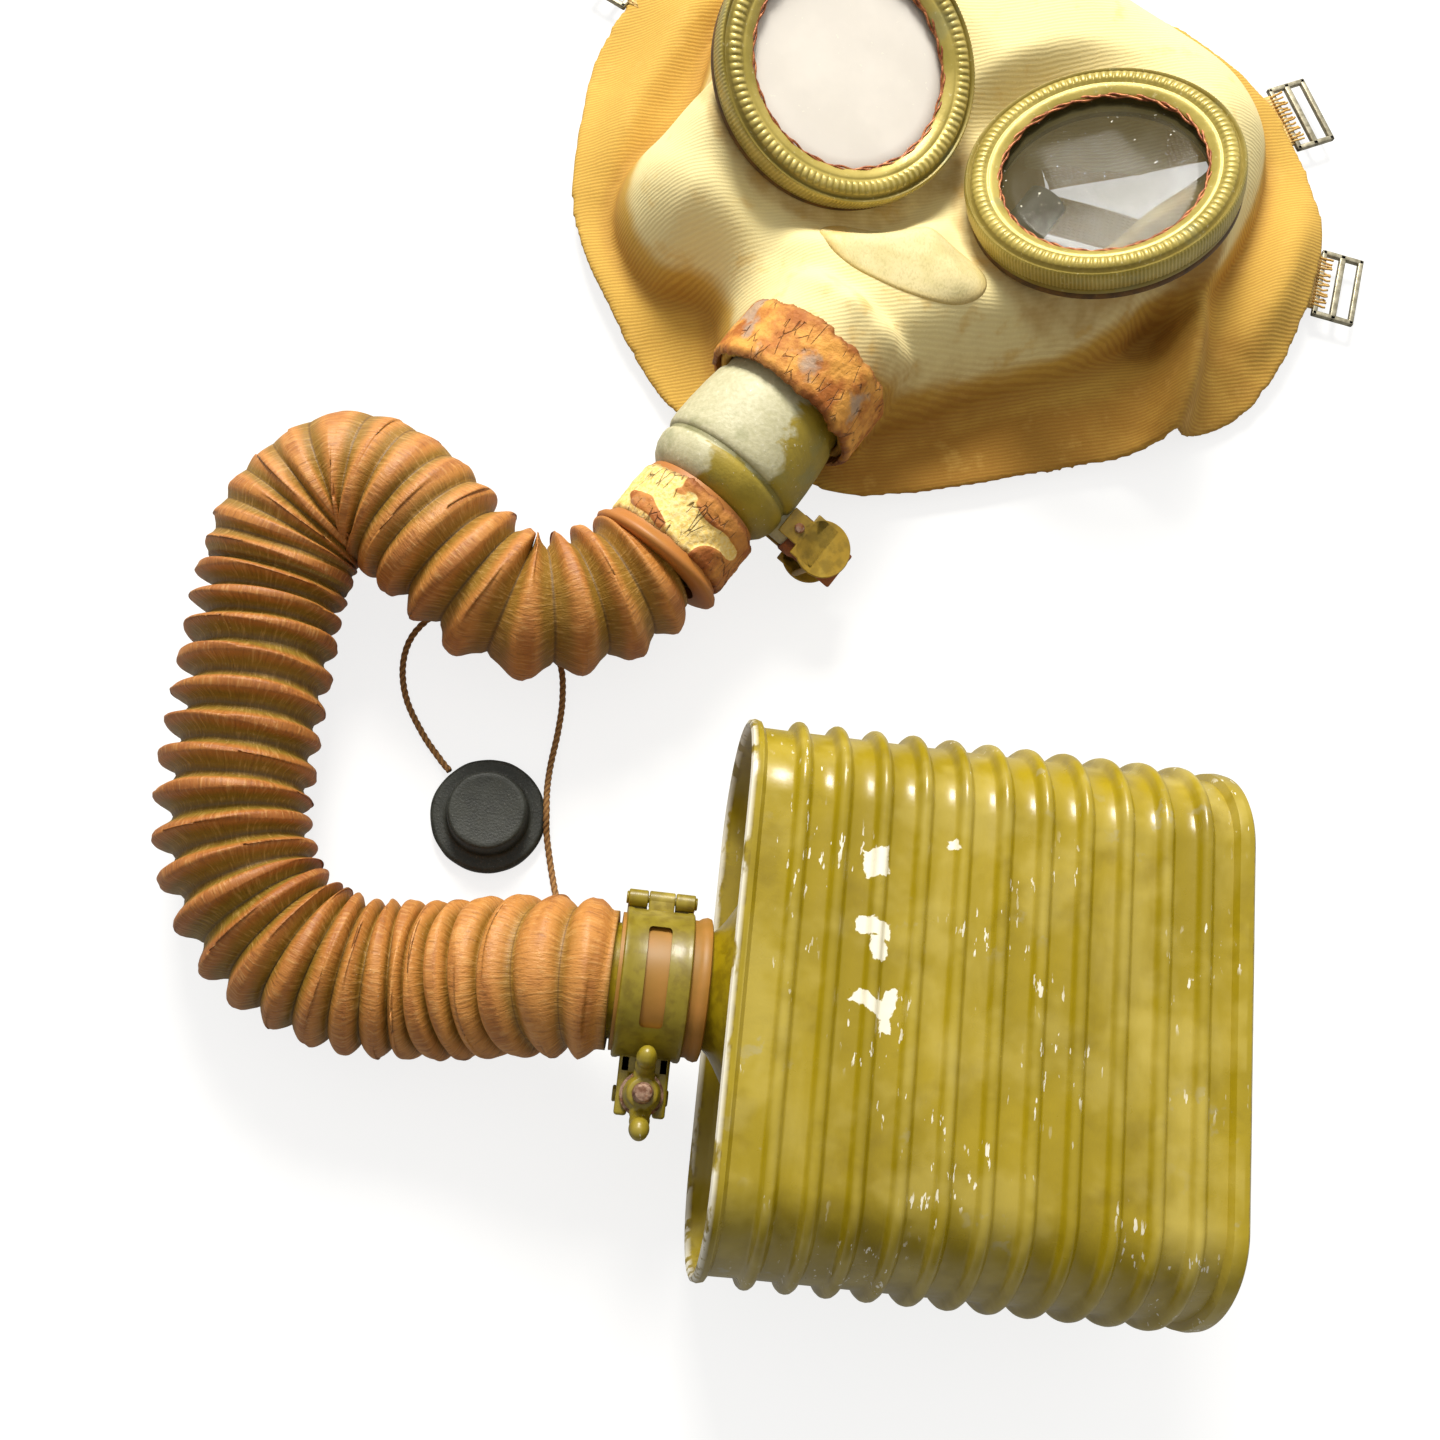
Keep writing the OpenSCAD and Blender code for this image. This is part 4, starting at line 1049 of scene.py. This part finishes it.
def makeEyepieces():
    ringPaint = makeRingPaint()
    copper = makeWireMaterial()
    rubber = makeRubber("brownSeatRubber", ("#4A3416", "#6B4A1C", "#8C7A50"), 0.6)
    glasses = {"left": makeGlass("milkyGlass", "#F6F0E6", 0.1, 0.86),
               "right": makeGlass("dustyGlass", "#5E583C", 0.14, 0.24)}
    for side, eye in eyes.items():
        makeBezel(side, eye, ringPaint)
        makeWires(side, eye, copper)
        collar = turned("eyeCollar" + side.title(), eyepiece["frame"], eye["frame"])
        finish(collar, ringPaint, "root", ["eye_frame_" + side])
        seat = turned("eyeSeat" + side.title(), eyepiece["seat"], eye["frame"], 128, 50)
        finish(seat, rubber, "root", ["eye_seat_" + side])
        lens = capped("eyeGlass" + side.title(), eyepiece["lens"], eye["frame"], 96, 40)
        finish(lens, glasses[side], "root", ["lens_" + side])


makeEyepieces()
print("eyepieces")


# Angle tube, tapes, hose end and exhale valve, in the tube's own frame

tube = {
    "profile": [(-6, 21), (-6, 22.3), (22, 22.3), (24, 23.6), (30, 24.4), (38, 25.0), (45, 25.2), (47.6, 25.0),
                (48.6, 24.5), (49.2, 23.7), (50.4, 23.6), (51.4, 24.3), (53, 24.5), (56, 24.0), (59, 22.6),
                (61.4, 20.4), (62.8, 17.2),
                (86, 17), (86, 15.4), (60, 15.4), (50, 21), (-6, 21)],
    "cuff": [(62.5, 17.1), (62.5, 20.2), (64, 20.7), (78, 20.6), (83, 20.9), (85.2, 22.2), (86.2, 23.6),
             (87.4, 24.3), (88.6, 23.8), (89.4, 22.2), (89.6, 19), (89.6, 17.1), (62.5, 17.1)],
}


# Grey-green paint on cast metal, scratched and gritty: chalky on the side towards the light, mustard where it is rubbed
# and on the side away from it, partly painted shade
def makeTubePaint():
    material, tree, surface = newMaterial("greyGreenTubePaint", 0.5)
    cloud, grain = (0.018, 5, {"rough": 0.6, "warp": 0.6}), (0.0016, 5)
    split = addNode(tree, "Math", {0: readPattern(tree, "low"), 1: 0.4, 2: stir(tree, "side", cloud, 1.0)},
                    operation="MULTIPLY_ADD")
    chalky = paintLayers(tree, "#BFBA93", (1, "#CBC6A2", (grain, 0.35, 0.65)))
    mustard = paintLayers(tree, "#8C7A1E", (1, "#A8922E", (cloud, 0.3, 0.7)))
    colour = paintLayers(
        tree, chalky, (1, mustard, (split, 0.66, 0.76)), (0.4, "#7E8150", ((0.012, 5), 0.55, 0.7)),
        # Darker olive in the groove ring, which is stored as crest: painted shade
        (0.6, "#6E6A34", ("crest",)), (0.6, "#F2EFDD", (grain, 0.66, 0.73)))
    dress(tree, surface, colour, (cloud, 0.35, 0.65), [(grain, 0.0004, 0.5)])
    return material


# Perished rubber tape: dry and cracked, dark at its torn edges, a cream layer under the layered one
def makeTapeMaterial(name, layered):
    material, tree, surface = newMaterial(name, 0.7)
    grain = (0.0012, 4)
    cells = addNode(tree, "TexVoronoi", {"Vector": layOut(tree, "UV", (1.5, 0.55, 1)), "Scale": 210.0,
                                         "Randomness": 1.0}, "Distance", feature="DISTANCE_TO_EDGE")
    cracks = mask(tree, [(cells, 0.05, 0.0), ((0.008, 2), 0.5, 0.58)])
    colour = paintLayers(tree, "#AE641F", (1, "#E8A548", ((0.009, 5), 0.35, 0.62)),
                         (0.75, "#B3A08C", ((0.014, 4), 0.55, 0.66)))
    if layered:
        under = paintLayers(tree, "#F2CE70", (1, "#F8DE96", (grain, 0.4, 0.6)))
        over = paintLayers(tree, colour, (0.5, "#9A5424"))
        colour = paintLayers(tree, under, (1, over, ("layer", 0.35, 0.6)))
    colour = paintLayers(tree, colour, (0.7, "#6E3712", ("rim",)), (0.65, "#4A240C", (cracks,)),
                         (0.35, "#F0C890", (grain, 0.64, 0.74)))
    solid = addNode(tree, "Math", {0: 1.0, 1: cracks}, operation="SUBTRACT")
    dress(tree, surface, colour, None, [(solid, 0.0009, 0.7), (grain, 0.0006, 0.6)])
    return material


tapes = {
    "chinTape": {"low": -1.5, "high": 21.5, "inner": 26.3, "outer": 28.7, "seed": 3.1, "ragged": 1.3, "lap": 0.9,
                 "worn": 0.0, "node": "chin_tape_band"},
    "hoseTape": {"low": 64.2, "high": 84.2, "inner": 20.5, "outer": 22.7, "seed": 8.4, "ragged": 1.0, "lap": 0.0,
                 "worn": 0.9, "node": "hose_tape_band"},
}


def makeTape(name, material):
    tape = tapes[name]
    inner, outer, seed = tape["inner"], tape["outer"], tape["seed"]
    columns, rows = 360, 34
    rings, rim, layer, lay = [], [], [], []
    for i in range(columns):
        angle = 2 * math.pi * i / columns
        around = Vector((math.cos(angle) * 2.2, math.sin(angle) * 2.2, seed))
        torn = noise.noise(around * 1.6) + 0.6 * noise.noise(around * 5) + 0.35 * noise.noise(around * 14)
        tornTop = noise.noise(around * 1.4 + Vector((9, 0, 0))) + 0.6 * noise.noise(around * 6 + Vector((5, 0, 0)))
        start, end = tape["low"] + tape["ragged"] * torn, tape["high"] - tape["ragged"] * tornTop
        lift = tape["lap"] * smoothStep(0.25, 0.0, abs((angle - 2.4)) / 1.1)
        ring = []
        for k in range(rows + 1):
            t = k / rows
            z = start + (end - start) * t
            rounding = min(1.0, min(t, 1 - t) * 9)
            bump = noise.fractal(Vector((math.cos(angle) * 6, math.sin(angle) * 6, z * 0.22 + seed)), 0.7, 2.1, 5)
            upper = noise.noise(Vector((math.cos(angle) * 1.7 + 3, math.sin(angle) * 1.7, z * 0.11 + seed)))
            cover = smoothStep(-0.08, 0.08, upper + 0.55 * math.cos(angle - 1.15) + 0.12)
            radius = outer - 1.2 * (1 - rounding) ** 2 + 0.35 * bump + lift
            radius -= tape["worn"] * (1 - cover)
            ring.append((radius * math.cos(angle), radius * math.sin(angle), z))
            rim.append(1 - smoothStep(0, 0.12, min(t, 1 - t)))
            layer.append(cover)
            lay.append((angle * outer * mm, z * mm))
        ring += [(inner * math.cos(angle), inner * math.sin(angle), z) for z in (end, start)]
        rim += [1, 1]
        layer += [1, 1]
        lay += [(angle * outer * mm, end * mm), (angle * outer * mm, start * mm)]
        rings.append(ring)
    piece = meshPiece(name, *sweepLoop(rings))
    storeValue(piece, "rim", rim)
    storeValue(piece, "layer", layer)
    storeUv(piece, lay)
    settle(piece, tubeFrame, 50)
    return finish(piece, material, "root", [tape["node"]])


def makeTubeParts():
    body = turned("angleTube", tube["profile"], tubeFrame, 128, 35)
    at = localPoints(body, tubeFrame)
    angle = np.arctan2(at[:, 1], at[:, 0])
    # Side is highest on the face away from the light, where the paint lays mustard, partly as painted shade
    storeValue(body, "side", 0.5 + 0.5 * np.cos(angle - 1.4))
    # Crest here marks the groove ring, which the paint darkens as painted shade
    storeValue(body, "crest", ((at[:, 2] > 48.7) & (at[:, 2] < 51)) * 1.0)
    storeValue(body, "low", smooth(50, 51.5, at[:, 2]))
    paint = makeTubePaint()
    finish(body, paint, "root", ["angle_tube"])
    cuff = turned("hoseEndCuff", tube["cuff"], tubeFrame, 128, 60)
    # Crest 0.9 leaves this cuff almost free of the hose finish's painted valley shade
    storeValue(cuff, "crest", np.full(len(cuff.data.vertices), 0.9))
    storeValue(cuff, "tone", np.full(len(cuff.data.vertices), 0.35))
    uv = localPoints(cuff, tubeFrame)
    storeUv(cuff, np.column_stack([np.arctan2(uv[:, 1], uv[:, 0]) * 0.022, uv[:, 2] * mm]))
    finish(cuff, bpy.data.materials["knitCoveredRubber"], "root", ["hose_end_cuff"])
    makeTape("chinTape", makeTapeMaterial("crackedOrangeTape", False))
    makeTape("hoseTape", makeTapeMaterial("crackedLayeredTape", True))


makeTubeParts()
print("tube and tapes")


# Hard small parts: boxes and bars with rounded edges, placed in a given frame

def block(low, high, frameOf, rounded=0.4):
    deselectAll()
    middle = [(a + b) / 2 * mm for a, b in zip(low, high)]
    bpy.ops.mesh.primitive_cube_add(size=1, location=middle)
    piece = bpy.context.object
    piece.scale = [(b - a) * mm for a, b in zip(low, high)]
    bpy.ops.object.transform_apply(location=True, rotation=False, scale=True)
    if rounded:
        edge = piece.modifiers.new("edge", "BEVEL")
        edge.width, edge.segments = rounded * mm, 3
        applyModifiers(piece)
    return settle(piece, frameOf, 40)


def rod(radius, start, end, frameOf, sides=40, rounded=0.3):
    steps = [(start, radius - rounded), (start + rounded, radius), (end - rounded, radius), (end, radius - rounded)]
    return capped("rod", steps, frameOf, sides, 40)


def shifted(frameOf, point):
    return frameOf @ Matrix.Translation(Vector(point) * mm)


clamp = {"x": -92.0, "inner": 20.35, "outer": 21.8, "half": 10.0, "hinge": 25.0, "bolt": -32.0, "eye": -6.0,
         "nut": 5.0}


def makeBand(upper):
    half = clamp["half"]
    steps = [(-half, clamp["inner"]), (-half, 21.5), (-half + 0.4, 22.0), (-half + 1.6, 22.0), (-half + 2.2, 21.7),
             (half - 2.2, 21.7), (half - 1.6, 22.0), (half - 0.4, 22.0), (half, 21.5), (half, clamp["inner"]),
             (-half, clamp["inner"])]
    frameOf = shifted(canFrame, (clamp["x"], 0, 0))
    piece = turned("clampBand", steps, frameOf @ alongX)
    low, high = (-40, 0.4) if upper else (-0.4, 40)
    cutWith(piece, [block((-20, -40, low), (20, 40, high), frameOf, 0)])
    if upper:
        cutWith(piece, [block((-3.4, -14, 8), (3.4, 15, 40), frameOf, 1.2)])
    return piece


def makeClamp():
    paint = paints["clamp"]
    frameOf = shifted(canFrame, (clamp["x"], 0, 0))
    hinge, bolt = clamp["hinge"], clamp["bolt"]
    hingeAt = shifted(frameOf, (0, hinge, 0)) @ alongX
    top = [makeBand(True), rod(2.6, -3.85, 3.85, hingeAt),
           block((-3.8, 21.0, 0.7), (3.8, hinge + 0.4, 2.5), frameOf, 0.5)]
    for x in (-7.4, 3.7):
        top.append(block((x, bolt - 6.3, 0.65), (x + 3.7, -20.9, 3.55), frameOf, 0.9))
    top.append(block((-7.4, -26.5, 0.65), (7.4, -20.9, 3.55), frameOf, 0.8))
    top = join(top, "clampUpper")
    bottom = [makeBand(False)]
    for x in (-10, 4.15):
        bottom += [rod(2.6, x, x + 5.8, hingeAt), block((x, 21.0, -2.5), (x + 5.8, hinge + 0.4, -0.7), frameOf, 0.5)]
    for x in (-6.9, 3.5):
        bottom.append(block((x, bolt - 5, -10.9), (x + 3.4, -20.9, -0.7), frameOf, 1.0))
    bottom = join(bottom, "clampLower")
    finish(settle(top, None, 40), paint, "clamp_top", ["clamp_upper"])
    finish(settle(bottom, None, 40), paint, "root", ["clamp_lower"])
    heads = [rod(1.9, low, low + 0.6, hingeAt, 40, 0.2) for low in (-10.6, 10.0)]
    pin = join([rod(1.15, -10.6, 10.6, hingeAt)] + heads, "hingePin")
    finish(pin, paint, "root", ["clamp_hinge_pin"])


def makeThread(start, end, radius):
    steps = []
    z = start
    while z < end - 1:
        steps += [(z, radius - 0.32), (z + 0.5, radius)]
        z += 1.0
    return steps


def makeBolt():
    rust = makeRust()
    at = shifted(canFrame, (clamp["x"], clamp["bolt"], 0))
    steps = [(-5, 2.9), (2, 2.95)] + makeThread(3, 18, 3.0) + [(18.2, 2.8), (18.9, 2.3), (19.2, 1.4)]
    shank = capped("shank", steps, at, 40)
    eye = rod(4.2, -3.1, 3.1, shifted(at, (0, 0, clamp["eye"])) @ alongX, 48, 0.6)
    finish(join([shank, eye], "swingBolt"), rust, "root", ["swing_bolt"])
    pinAt = shifted(at, (0, 0, clamp["eye"])) @ alongX
    pin = join([rod(1.45, -8.2, 8.2, pinAt), rod(2.4, -8.2, -7.1, pinAt), rod(2.4, 7.1, 8.2, pinAt)], "swingPin")
    finish(pin, paints["clamp"], "root", ["swing_bolt_pin"])
    washer = turned("boltWasher", [(3.95, 3.1), (3.95, 6.1), (4.15, 6.4), (4.65, 6.4), (4.85, 6.1), (4.85, 3.1),
                                   (3.95, 3.1)], at, 64)
    finish(washer, rust, "washer", ["clamp_washer"])


# Browned steel: dull, with specks of orange rust
def makeRust():
    grain = (0.0016, 5)
    return makeFinish("brownedSteel", 0.55, "#6B4630", [(1, "#A98A74", (grain, 0.35, 0.62)),
                                                        (0.6, "#A0602C", ((0.004, 4), 0.5, 0.62))],
                      bumps=[(grain, 0.0004, 0.6)], Metallic=0.4)


def makeWingNut():
    at = shifted(canFrame, (clamp["x"], clamp["bolt"], clamp["nut"]))
    hub = drawProfile("wingNut", [(0, 3.1), (0.1, 5.2), (0.6, 5.6), (2, 5.5), (6.4, 4.7), (7.3, 4.3), (7.5, 3.1)], 64)
    solid = drawProfile("core", [(0.05, 3.6), (7.45, 3.6)], 48)
    capEnds(solid)
    capEnds(hub)
    lobes = [hub, solid]
    for side in (-1, 1):
        for y, z, ry, rz, rx in ((5.2, 4.4, 3.2, 3.2, 3.2), (7.6, 6.2, 3.2, 3.4, 3.0), (9.8, 9.4, 3.3, 4.0, 3.0),
                                 (10.4, 10.8, 2.9, 2.8, 2.7)):
            deselectAll()
            bpy.ops.mesh.primitive_uv_sphere_add(segments=32, ring_count=20, location=(0, side * y * mm, z * mm))
            lobe = bpy.context.object
            lobe.scale = (rx * mm, ry * mm, rz * mm)
            bpy.ops.object.transform_apply(location=True, rotation=False, scale=True)
            lobes.append(lobe)
    piece = join(lobes, "wingNut")
    melt(piece, 0.28, 8)
    settle(piece, at, 60)
    cutWith(piece, [rod(3.05, -2, 12, at, 40, 0)])
    points = localPoints(piece, at)
    # Crest rises towards the wing tips; the clamp paint lays painted highlight there and painted shade nearer the hub
    storeValue(piece, "crest", np.clip((np.abs(points[:, 1]) - 8) / 6, 0, 0.9))
    settle(piece, None, 50)
    finish(piece, paints["clamp"], "nut", ["wing_nut"])


def makeCuff():
    steps = [(-103, 17.1), (-103, 20.2), (-80.5, 20.1), (-79.5, 20.8), (-78, 21.2), (-76.8, 20.8), (-76.4, 19.6),
             (-76.2, 17.1), (-103, 17.1)]
    piece = turned("hoseCuff", steps, canFrame @ alongX, 128, 50)
    at = localPoints(piece, canFrame)
    # Crest sets how much painted valley shade the hose finish lays on the cuff; the lip end (x above -80.5) gets less
    storeValue(piece, "crest", np.where(at[:, 0] > -80.5, 0.55, 0.45))
    storeValue(piece, "tone", np.full(len(at), 0.95))
    storeUv(piece, np.column_stack([at[:, 0] * mm, np.arctan2(at[:, 2], at[:, 1]) * 0.02]))
    finish(piece, bpy.data.materials["knitCoveredRubber"], "root", ["hose_cuff"])


makeClamp()
makeBolt()
makeWingNut()
makeCuff()
print("clamp")


# Exhale valve: stub, flat rubber lips and painted guard plates

def makeValve():
    outwards = Matrix.Rotation(-math.pi / 2, 4, "X")
    perished = makeRubber("perishedBrownRubber", ("#6E3A1C", "#9C5A2C", "#C08A58"), 0.6, 0.4)
    stub = turned("valveStub", [(20, 4.8), (20, 5.9), (33.6, 5.9), (33.9, 5.6), (33.9, 4.8), (20, 4.8)],
                  valveFrame @ outwards, 64)
    finish(stub, bpy.data.materials["greyGreenTubePaint"], "root", ["exhale_valve_stub"])
    collar = turned("collar", [(29.1, 6.1), (29.1, 7.0), (29.6, 7.3), (33.4, 7.3), (35.3, 6.6), (35.6, 5.2),
                               (29.1, 6.1)], valveFrame @ outwards, 64)
    upper = block((-1.65, 34.6, -6.9), (-0.3, 50.6, 6.9), valveFrame, 0.6)
    finish(join([collar, upper], "flutterValve"), perished, "root", ["flutter_valve"])
    lower = join([block((0.45, 36.4, -6.4), (1.85, 50.8, 6.4), valveFrame, 0.6),
                  rod(0.75, -6.4, 6.4, shifted(valveFrame, (1.15, 36.4, 0)), 24, 0.1)], "flutterLip")
    finish(lower, perished, "flutter", ["flutter_lip"])
    plates = []
    for x in (-8.6, 7.6):
        disc = rod(9.6, 0, 1, shifted(valveFrame, (x, 40, 0)) @ alongX, 96, 0.3)
        strip = block((x, 24.4, -4.9), (x + 1, 38, 4.9), valveFrame, 0.3)
        shoulder = block((x, 32, -8.2), (x + 1, 41, 8.2), valveFrame, 0.4)
        plates += [disc, strip, shoulder]
    for z in (-8.4, 8.4):
        plates.append(rod(1.1, -8.0, 8.0, shifted(valveFrame, (0, 40, z)) @ alongX, 24, 0.1))
    guard = settle(join(plates, "valveGuard"), None, 40)
    finish(guard, makePaint("mustardGuardPaint", ("#A5831A", "#B59326", "#8C6E12"), 0.3, 0.35), "root",
           ["valve_guard"])
    screwAt = shifted(valveFrame, (0, 29.5, 0)) @ alongX
    screws = join([rod(1.7, x, x + 1, screwAt, 24, 0.35) for x in (-9.6, 8.6)], "guardScrews")
    finish(screws, bpy.data.materials["brownedSteel"], "root", ["valve_guard_screws"])


makeValve()
print("exhale valve")


# Head harness folded under the face: webbing tabs with frayed ends, buckles, straps and pad

harness = {
    "places": [(-136, 30, 175), (-96, 98, 130), (0, 116, 90), (96, 98, 48), (132, 42, 12)],
    "tabWide": 22, "tabThick": 1.4, "strapWide": 16, "strapThick": 1.1, "padAt": (0, 14), "padReach": 35,
    # Bars of a buckle: two corners of each, along and across the tab
    "bars": [((4, -14), (6, 14)), ((10.8, -14), (13.2, 14)), ((18, -14), (20, 14)), ((4, -14), (20, -12)),
             ((4, 12), (20, 14))],
}


# Woven cotton webbing: matt, its threads drawn coarser than they are, so that they show
def makeWebbing():
    material, tree, surface = newMaterial("cottonWebbing", 0.88)
    waves = [addNode(tree, "TexWave", {"Vector": layOut(tree, "UV"), "Scale": scale, "Distortion": 0.6}, "Fac",
                     bands_direction=axis) for scale, axis in ((160.0, "X"), (240.0, "Y"))]
    threads = mask(tree, [(wave,) for wave in waves])
    colour = paintLayers(tree, "#D8AE5C", (1, "#EBCB86", ((0.012, 4), 0.35, 0.65)),
                         (0.4, "#A87A34", (threads, 0.4, 0.05)))
    dress(tree, surface, colour, None, [(threads, 0.0006, 0.6)])
    return material


def strip(start, end, width, height, thick, seed):
    along = Vector((end[0] - start[0], end[1] - start[1], 0))
    length = along.length
    along.normalize()
    across = Vector((-along.y, along.x, 0))
    rows, columns = max(12, int(length / 1.5)), 14
    points, lay = [], []
    for i in range(rows + 1):
        for k in range(columns + 1):
            u, v = length * i / rows, width * (k / columns - 0.5)
            fray = 0.5 * noise.noise(Vector((v * 1.7, seed, i * 0.5))) * (i in (0, rows))
            spot = Vector((start[0], start[1], 0)) + along * (u + fray) + across * v
            spot.z = height + 0.35 * math.sin(u * 0.12 + seed) + 0.12 * math.sin(v * 0.5 + seed)
            points.append(spot * mm)
            lay.append((u * mm, v * mm))
    piece = meshPiece("strip", points, gridFaces(rows, columns, closed=False, flipped=True))
    storeUv(piece, lay)
    return thicken(piece, thick, 0)


def makeFringe(middle, turn, seed):
    outward = Vector((math.cos(turn), math.sin(turn), 0))
    across = Vector((-outward.y, outward.x, 0))
    threads = []
    for k in range(15):
        root = Vector((middle[0], middle[1], 6.4)) + across * (-10 + 20 * k / 14)
        line = []
        for i in range(6):
            t = i / 5
            sway = 1.2 * noise.noise(Vector((k * 3.1, t * 2, seed)))
            line.append(root + outward * (t * (5 + 2 * noise.noise(Vector((k, seed, 0))))) + across * sway * t
                        + Vector((0, 0, 0.8 * math.sin(k * 2.4) * t)))
        line, _ = curveThrough(line, 0.6)
        heading, side, up = pathFrames(line)
        turns = np.linspace(0, 2 * math.pi, 6, endpoint=False)
        rings = [[line[i] + 0.45 * (math.cos(a) * side[i] + math.sin(a) * up[i]) for a in turns]
                 for i in range(len(line))]
        points, faces = sweepRings(rings)
        threads.append(meshPiece("thread", np.array(points) * mm, faces))
        storeUv(threads[-1], np.zeros((len(points), 2)))
    return threads


def makeHarness():
    webbing = makeWebbing()
    steel = makeSteel()
    tabs, straps, buckles, total = [], [], [], 0
    padX, padY = harness["padAt"]
    for i, (x, y, turn) in enumerate(harness["places"]):
        a = math.radians(turn)
        ux, uy = math.cos(a), math.sin(a)
        tabs.append(strip((x - 14 * ux, y - 14 * uy), (x + 4 * ux, y + 4 * uy), harness["tabWide"], 5.7,
                          harness["tabThick"], i))
        tabs += makeFringe((x + 3.4 * ux, y + 3.4 * uy), a, i)
        run = math.hypot(padX - x, padY - y)
        dx, dy = (padX - x) / run, (padY - y) / run
        reach = run - harness["padReach"]
        straps.append(strip((x + dx, y + dy), (x + dx * reach, y + dy * reach), harness["strapWide"], 0.95,
                            harness["strapThick"], i + 7))
        total += reach - 1
        frameOf = maskFrame @ Matrix.Translation(Vector((x, y, 5.5)) * mm) @ Matrix.Rotation(a, 4, "Z")
        for low, high in harness["bars"]:
            buckles.append(block((low[0], low[1], -1), (high[0], high[1], 1), frameOf, 0.5))
    tabs = join(tabs, "harnessTabs")
    tabs.data.transform(maskFrame)
    finish(tabs, webbing, "root", ["harness_tabs"])
    straps = join(straps, "headStraps")
    straps.data.transform(maskFrame)
    finish(straps, webbing, "root", ["head_straps"])
    finish(settle(join(buckles, "harnessBuckles"), None, 40), steel, "root", ["harness_buckles"])
    pad = capped("headPad", [(0.4, 2), (0.4, 30), (0.7, 33.4), (1.6, 34.2), (2.7, 33.8), (3.6, 31), (4.1, 22),
                             (4.2, 2)], None, 96, 60)
    for vertex in pad.data.vertices:
        vertex.co.z += 0.25 * mm * math.sin(vertex.co.x * 180) * math.sin(vertex.co.y * 160) * (vertex.co.z > 2 * mm)
    storeUv(pad, [(v.co.x, v.co.y) for v in pad.data.vertices])
    pad.data.transform(maskFrame @ Matrix.Translation(Vector((0, 14, 0)) * mm))
    finish(pad, webbing, "root", ["head_pad"])


# Plain steel wire and sheet: grey, with a dull gloss
def makeSteel():
    grain = (0.002, 5)
    return makeFinish("dullSteel", 0.42, "#8E8872", [(1, "#B8B29C", (grain, 0.3, 0.7))], (grain, 0.35, 0.6),
                      Metallic=0.8)


makeHarness()
print("harness")


# Inside the facepiece: two flattened black rubber ducts from the chin to the glasses

def makeInside():
    black = makeRubber("greenBlackDuct", ("#0D0F09", "#15180E", "#33361F"), 0.5, 0.3)
    ducts = []
    for side in (-1, 1):
        line, _ = curveThrough([(side * 9 - 8, -74, 21), (side * 17 - 4, -50, 24.5), (side * 25, -26, 28.5),
                                (side * 30, -10, 30), (side * 33, 6, 30)], 1.0)
        heading, across, up = pathFrames(line)
        angles = np.linspace(0, 2 * math.pi, 40, endpoint=False)
        rings = []
        for inner in (False, True):
            order = range(len(line)) if not inner else range(len(line) - 1, -1, -1)
            for i in order:
                t = i / (len(line) - 1)
                wide, tall = 8.6 - 1.2 * t, 7.6 - 2.6 * t
                if inner:
                    wide, tall = wide - 1.6, tall - 1.6
                rings.append([line[i] + wide * math.cos(a) * across[i] + tall * math.sin(a) * up[i] for a in angles])
        ducts.append(meshPiece("duct", *sweepLoop(rings)))
    duct = join(ducts, "airDucts")
    settle(duct, maskFrame, 60)
    finish(duct, black, "root", ["air_deflector"])


makeInside()


def paintInside():
    black = bpy.data.materials["greenBlackDuct"]
    steel = bpy.data.materials["dullSteel"]
    grains = {}
    for name, dark, light, size in (("charcoalGrains", "#17181A", "#2E3032", 0.0025),
                                    ("sodaLimeGrains", "#C8C2AE", "#E6E1D0", 0.003),
                                    ("filterFelt", "#DAD0B0", "#ECE4CA", 0.0015)):
        grain = (size, 4)  # loose grains and felt are matt and rough
        grains[name] = makeFinish(name, 0.9, dark, [(1, light, (grain, 0.35, 0.6))], bumps=[(grain, 0.0015, 0.8)])
    chosen = {"inlet_valve_guide": steel, "inlet_valve_disc": black, "inlet_screen": steel, "outlet_screen": steel,
              "charcoal_bed": grains["charcoalGrains"], "filter_pad": grains["filterFelt"],
              "soda_lime_bed": grains["sodaLimeGrains"], "pressure_spring": steel}
    for name, material in chosen.items():
        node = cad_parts[name]
        node.data.materials.clear()
        node.data.materials.append(material)


paintInside()
print("inside")
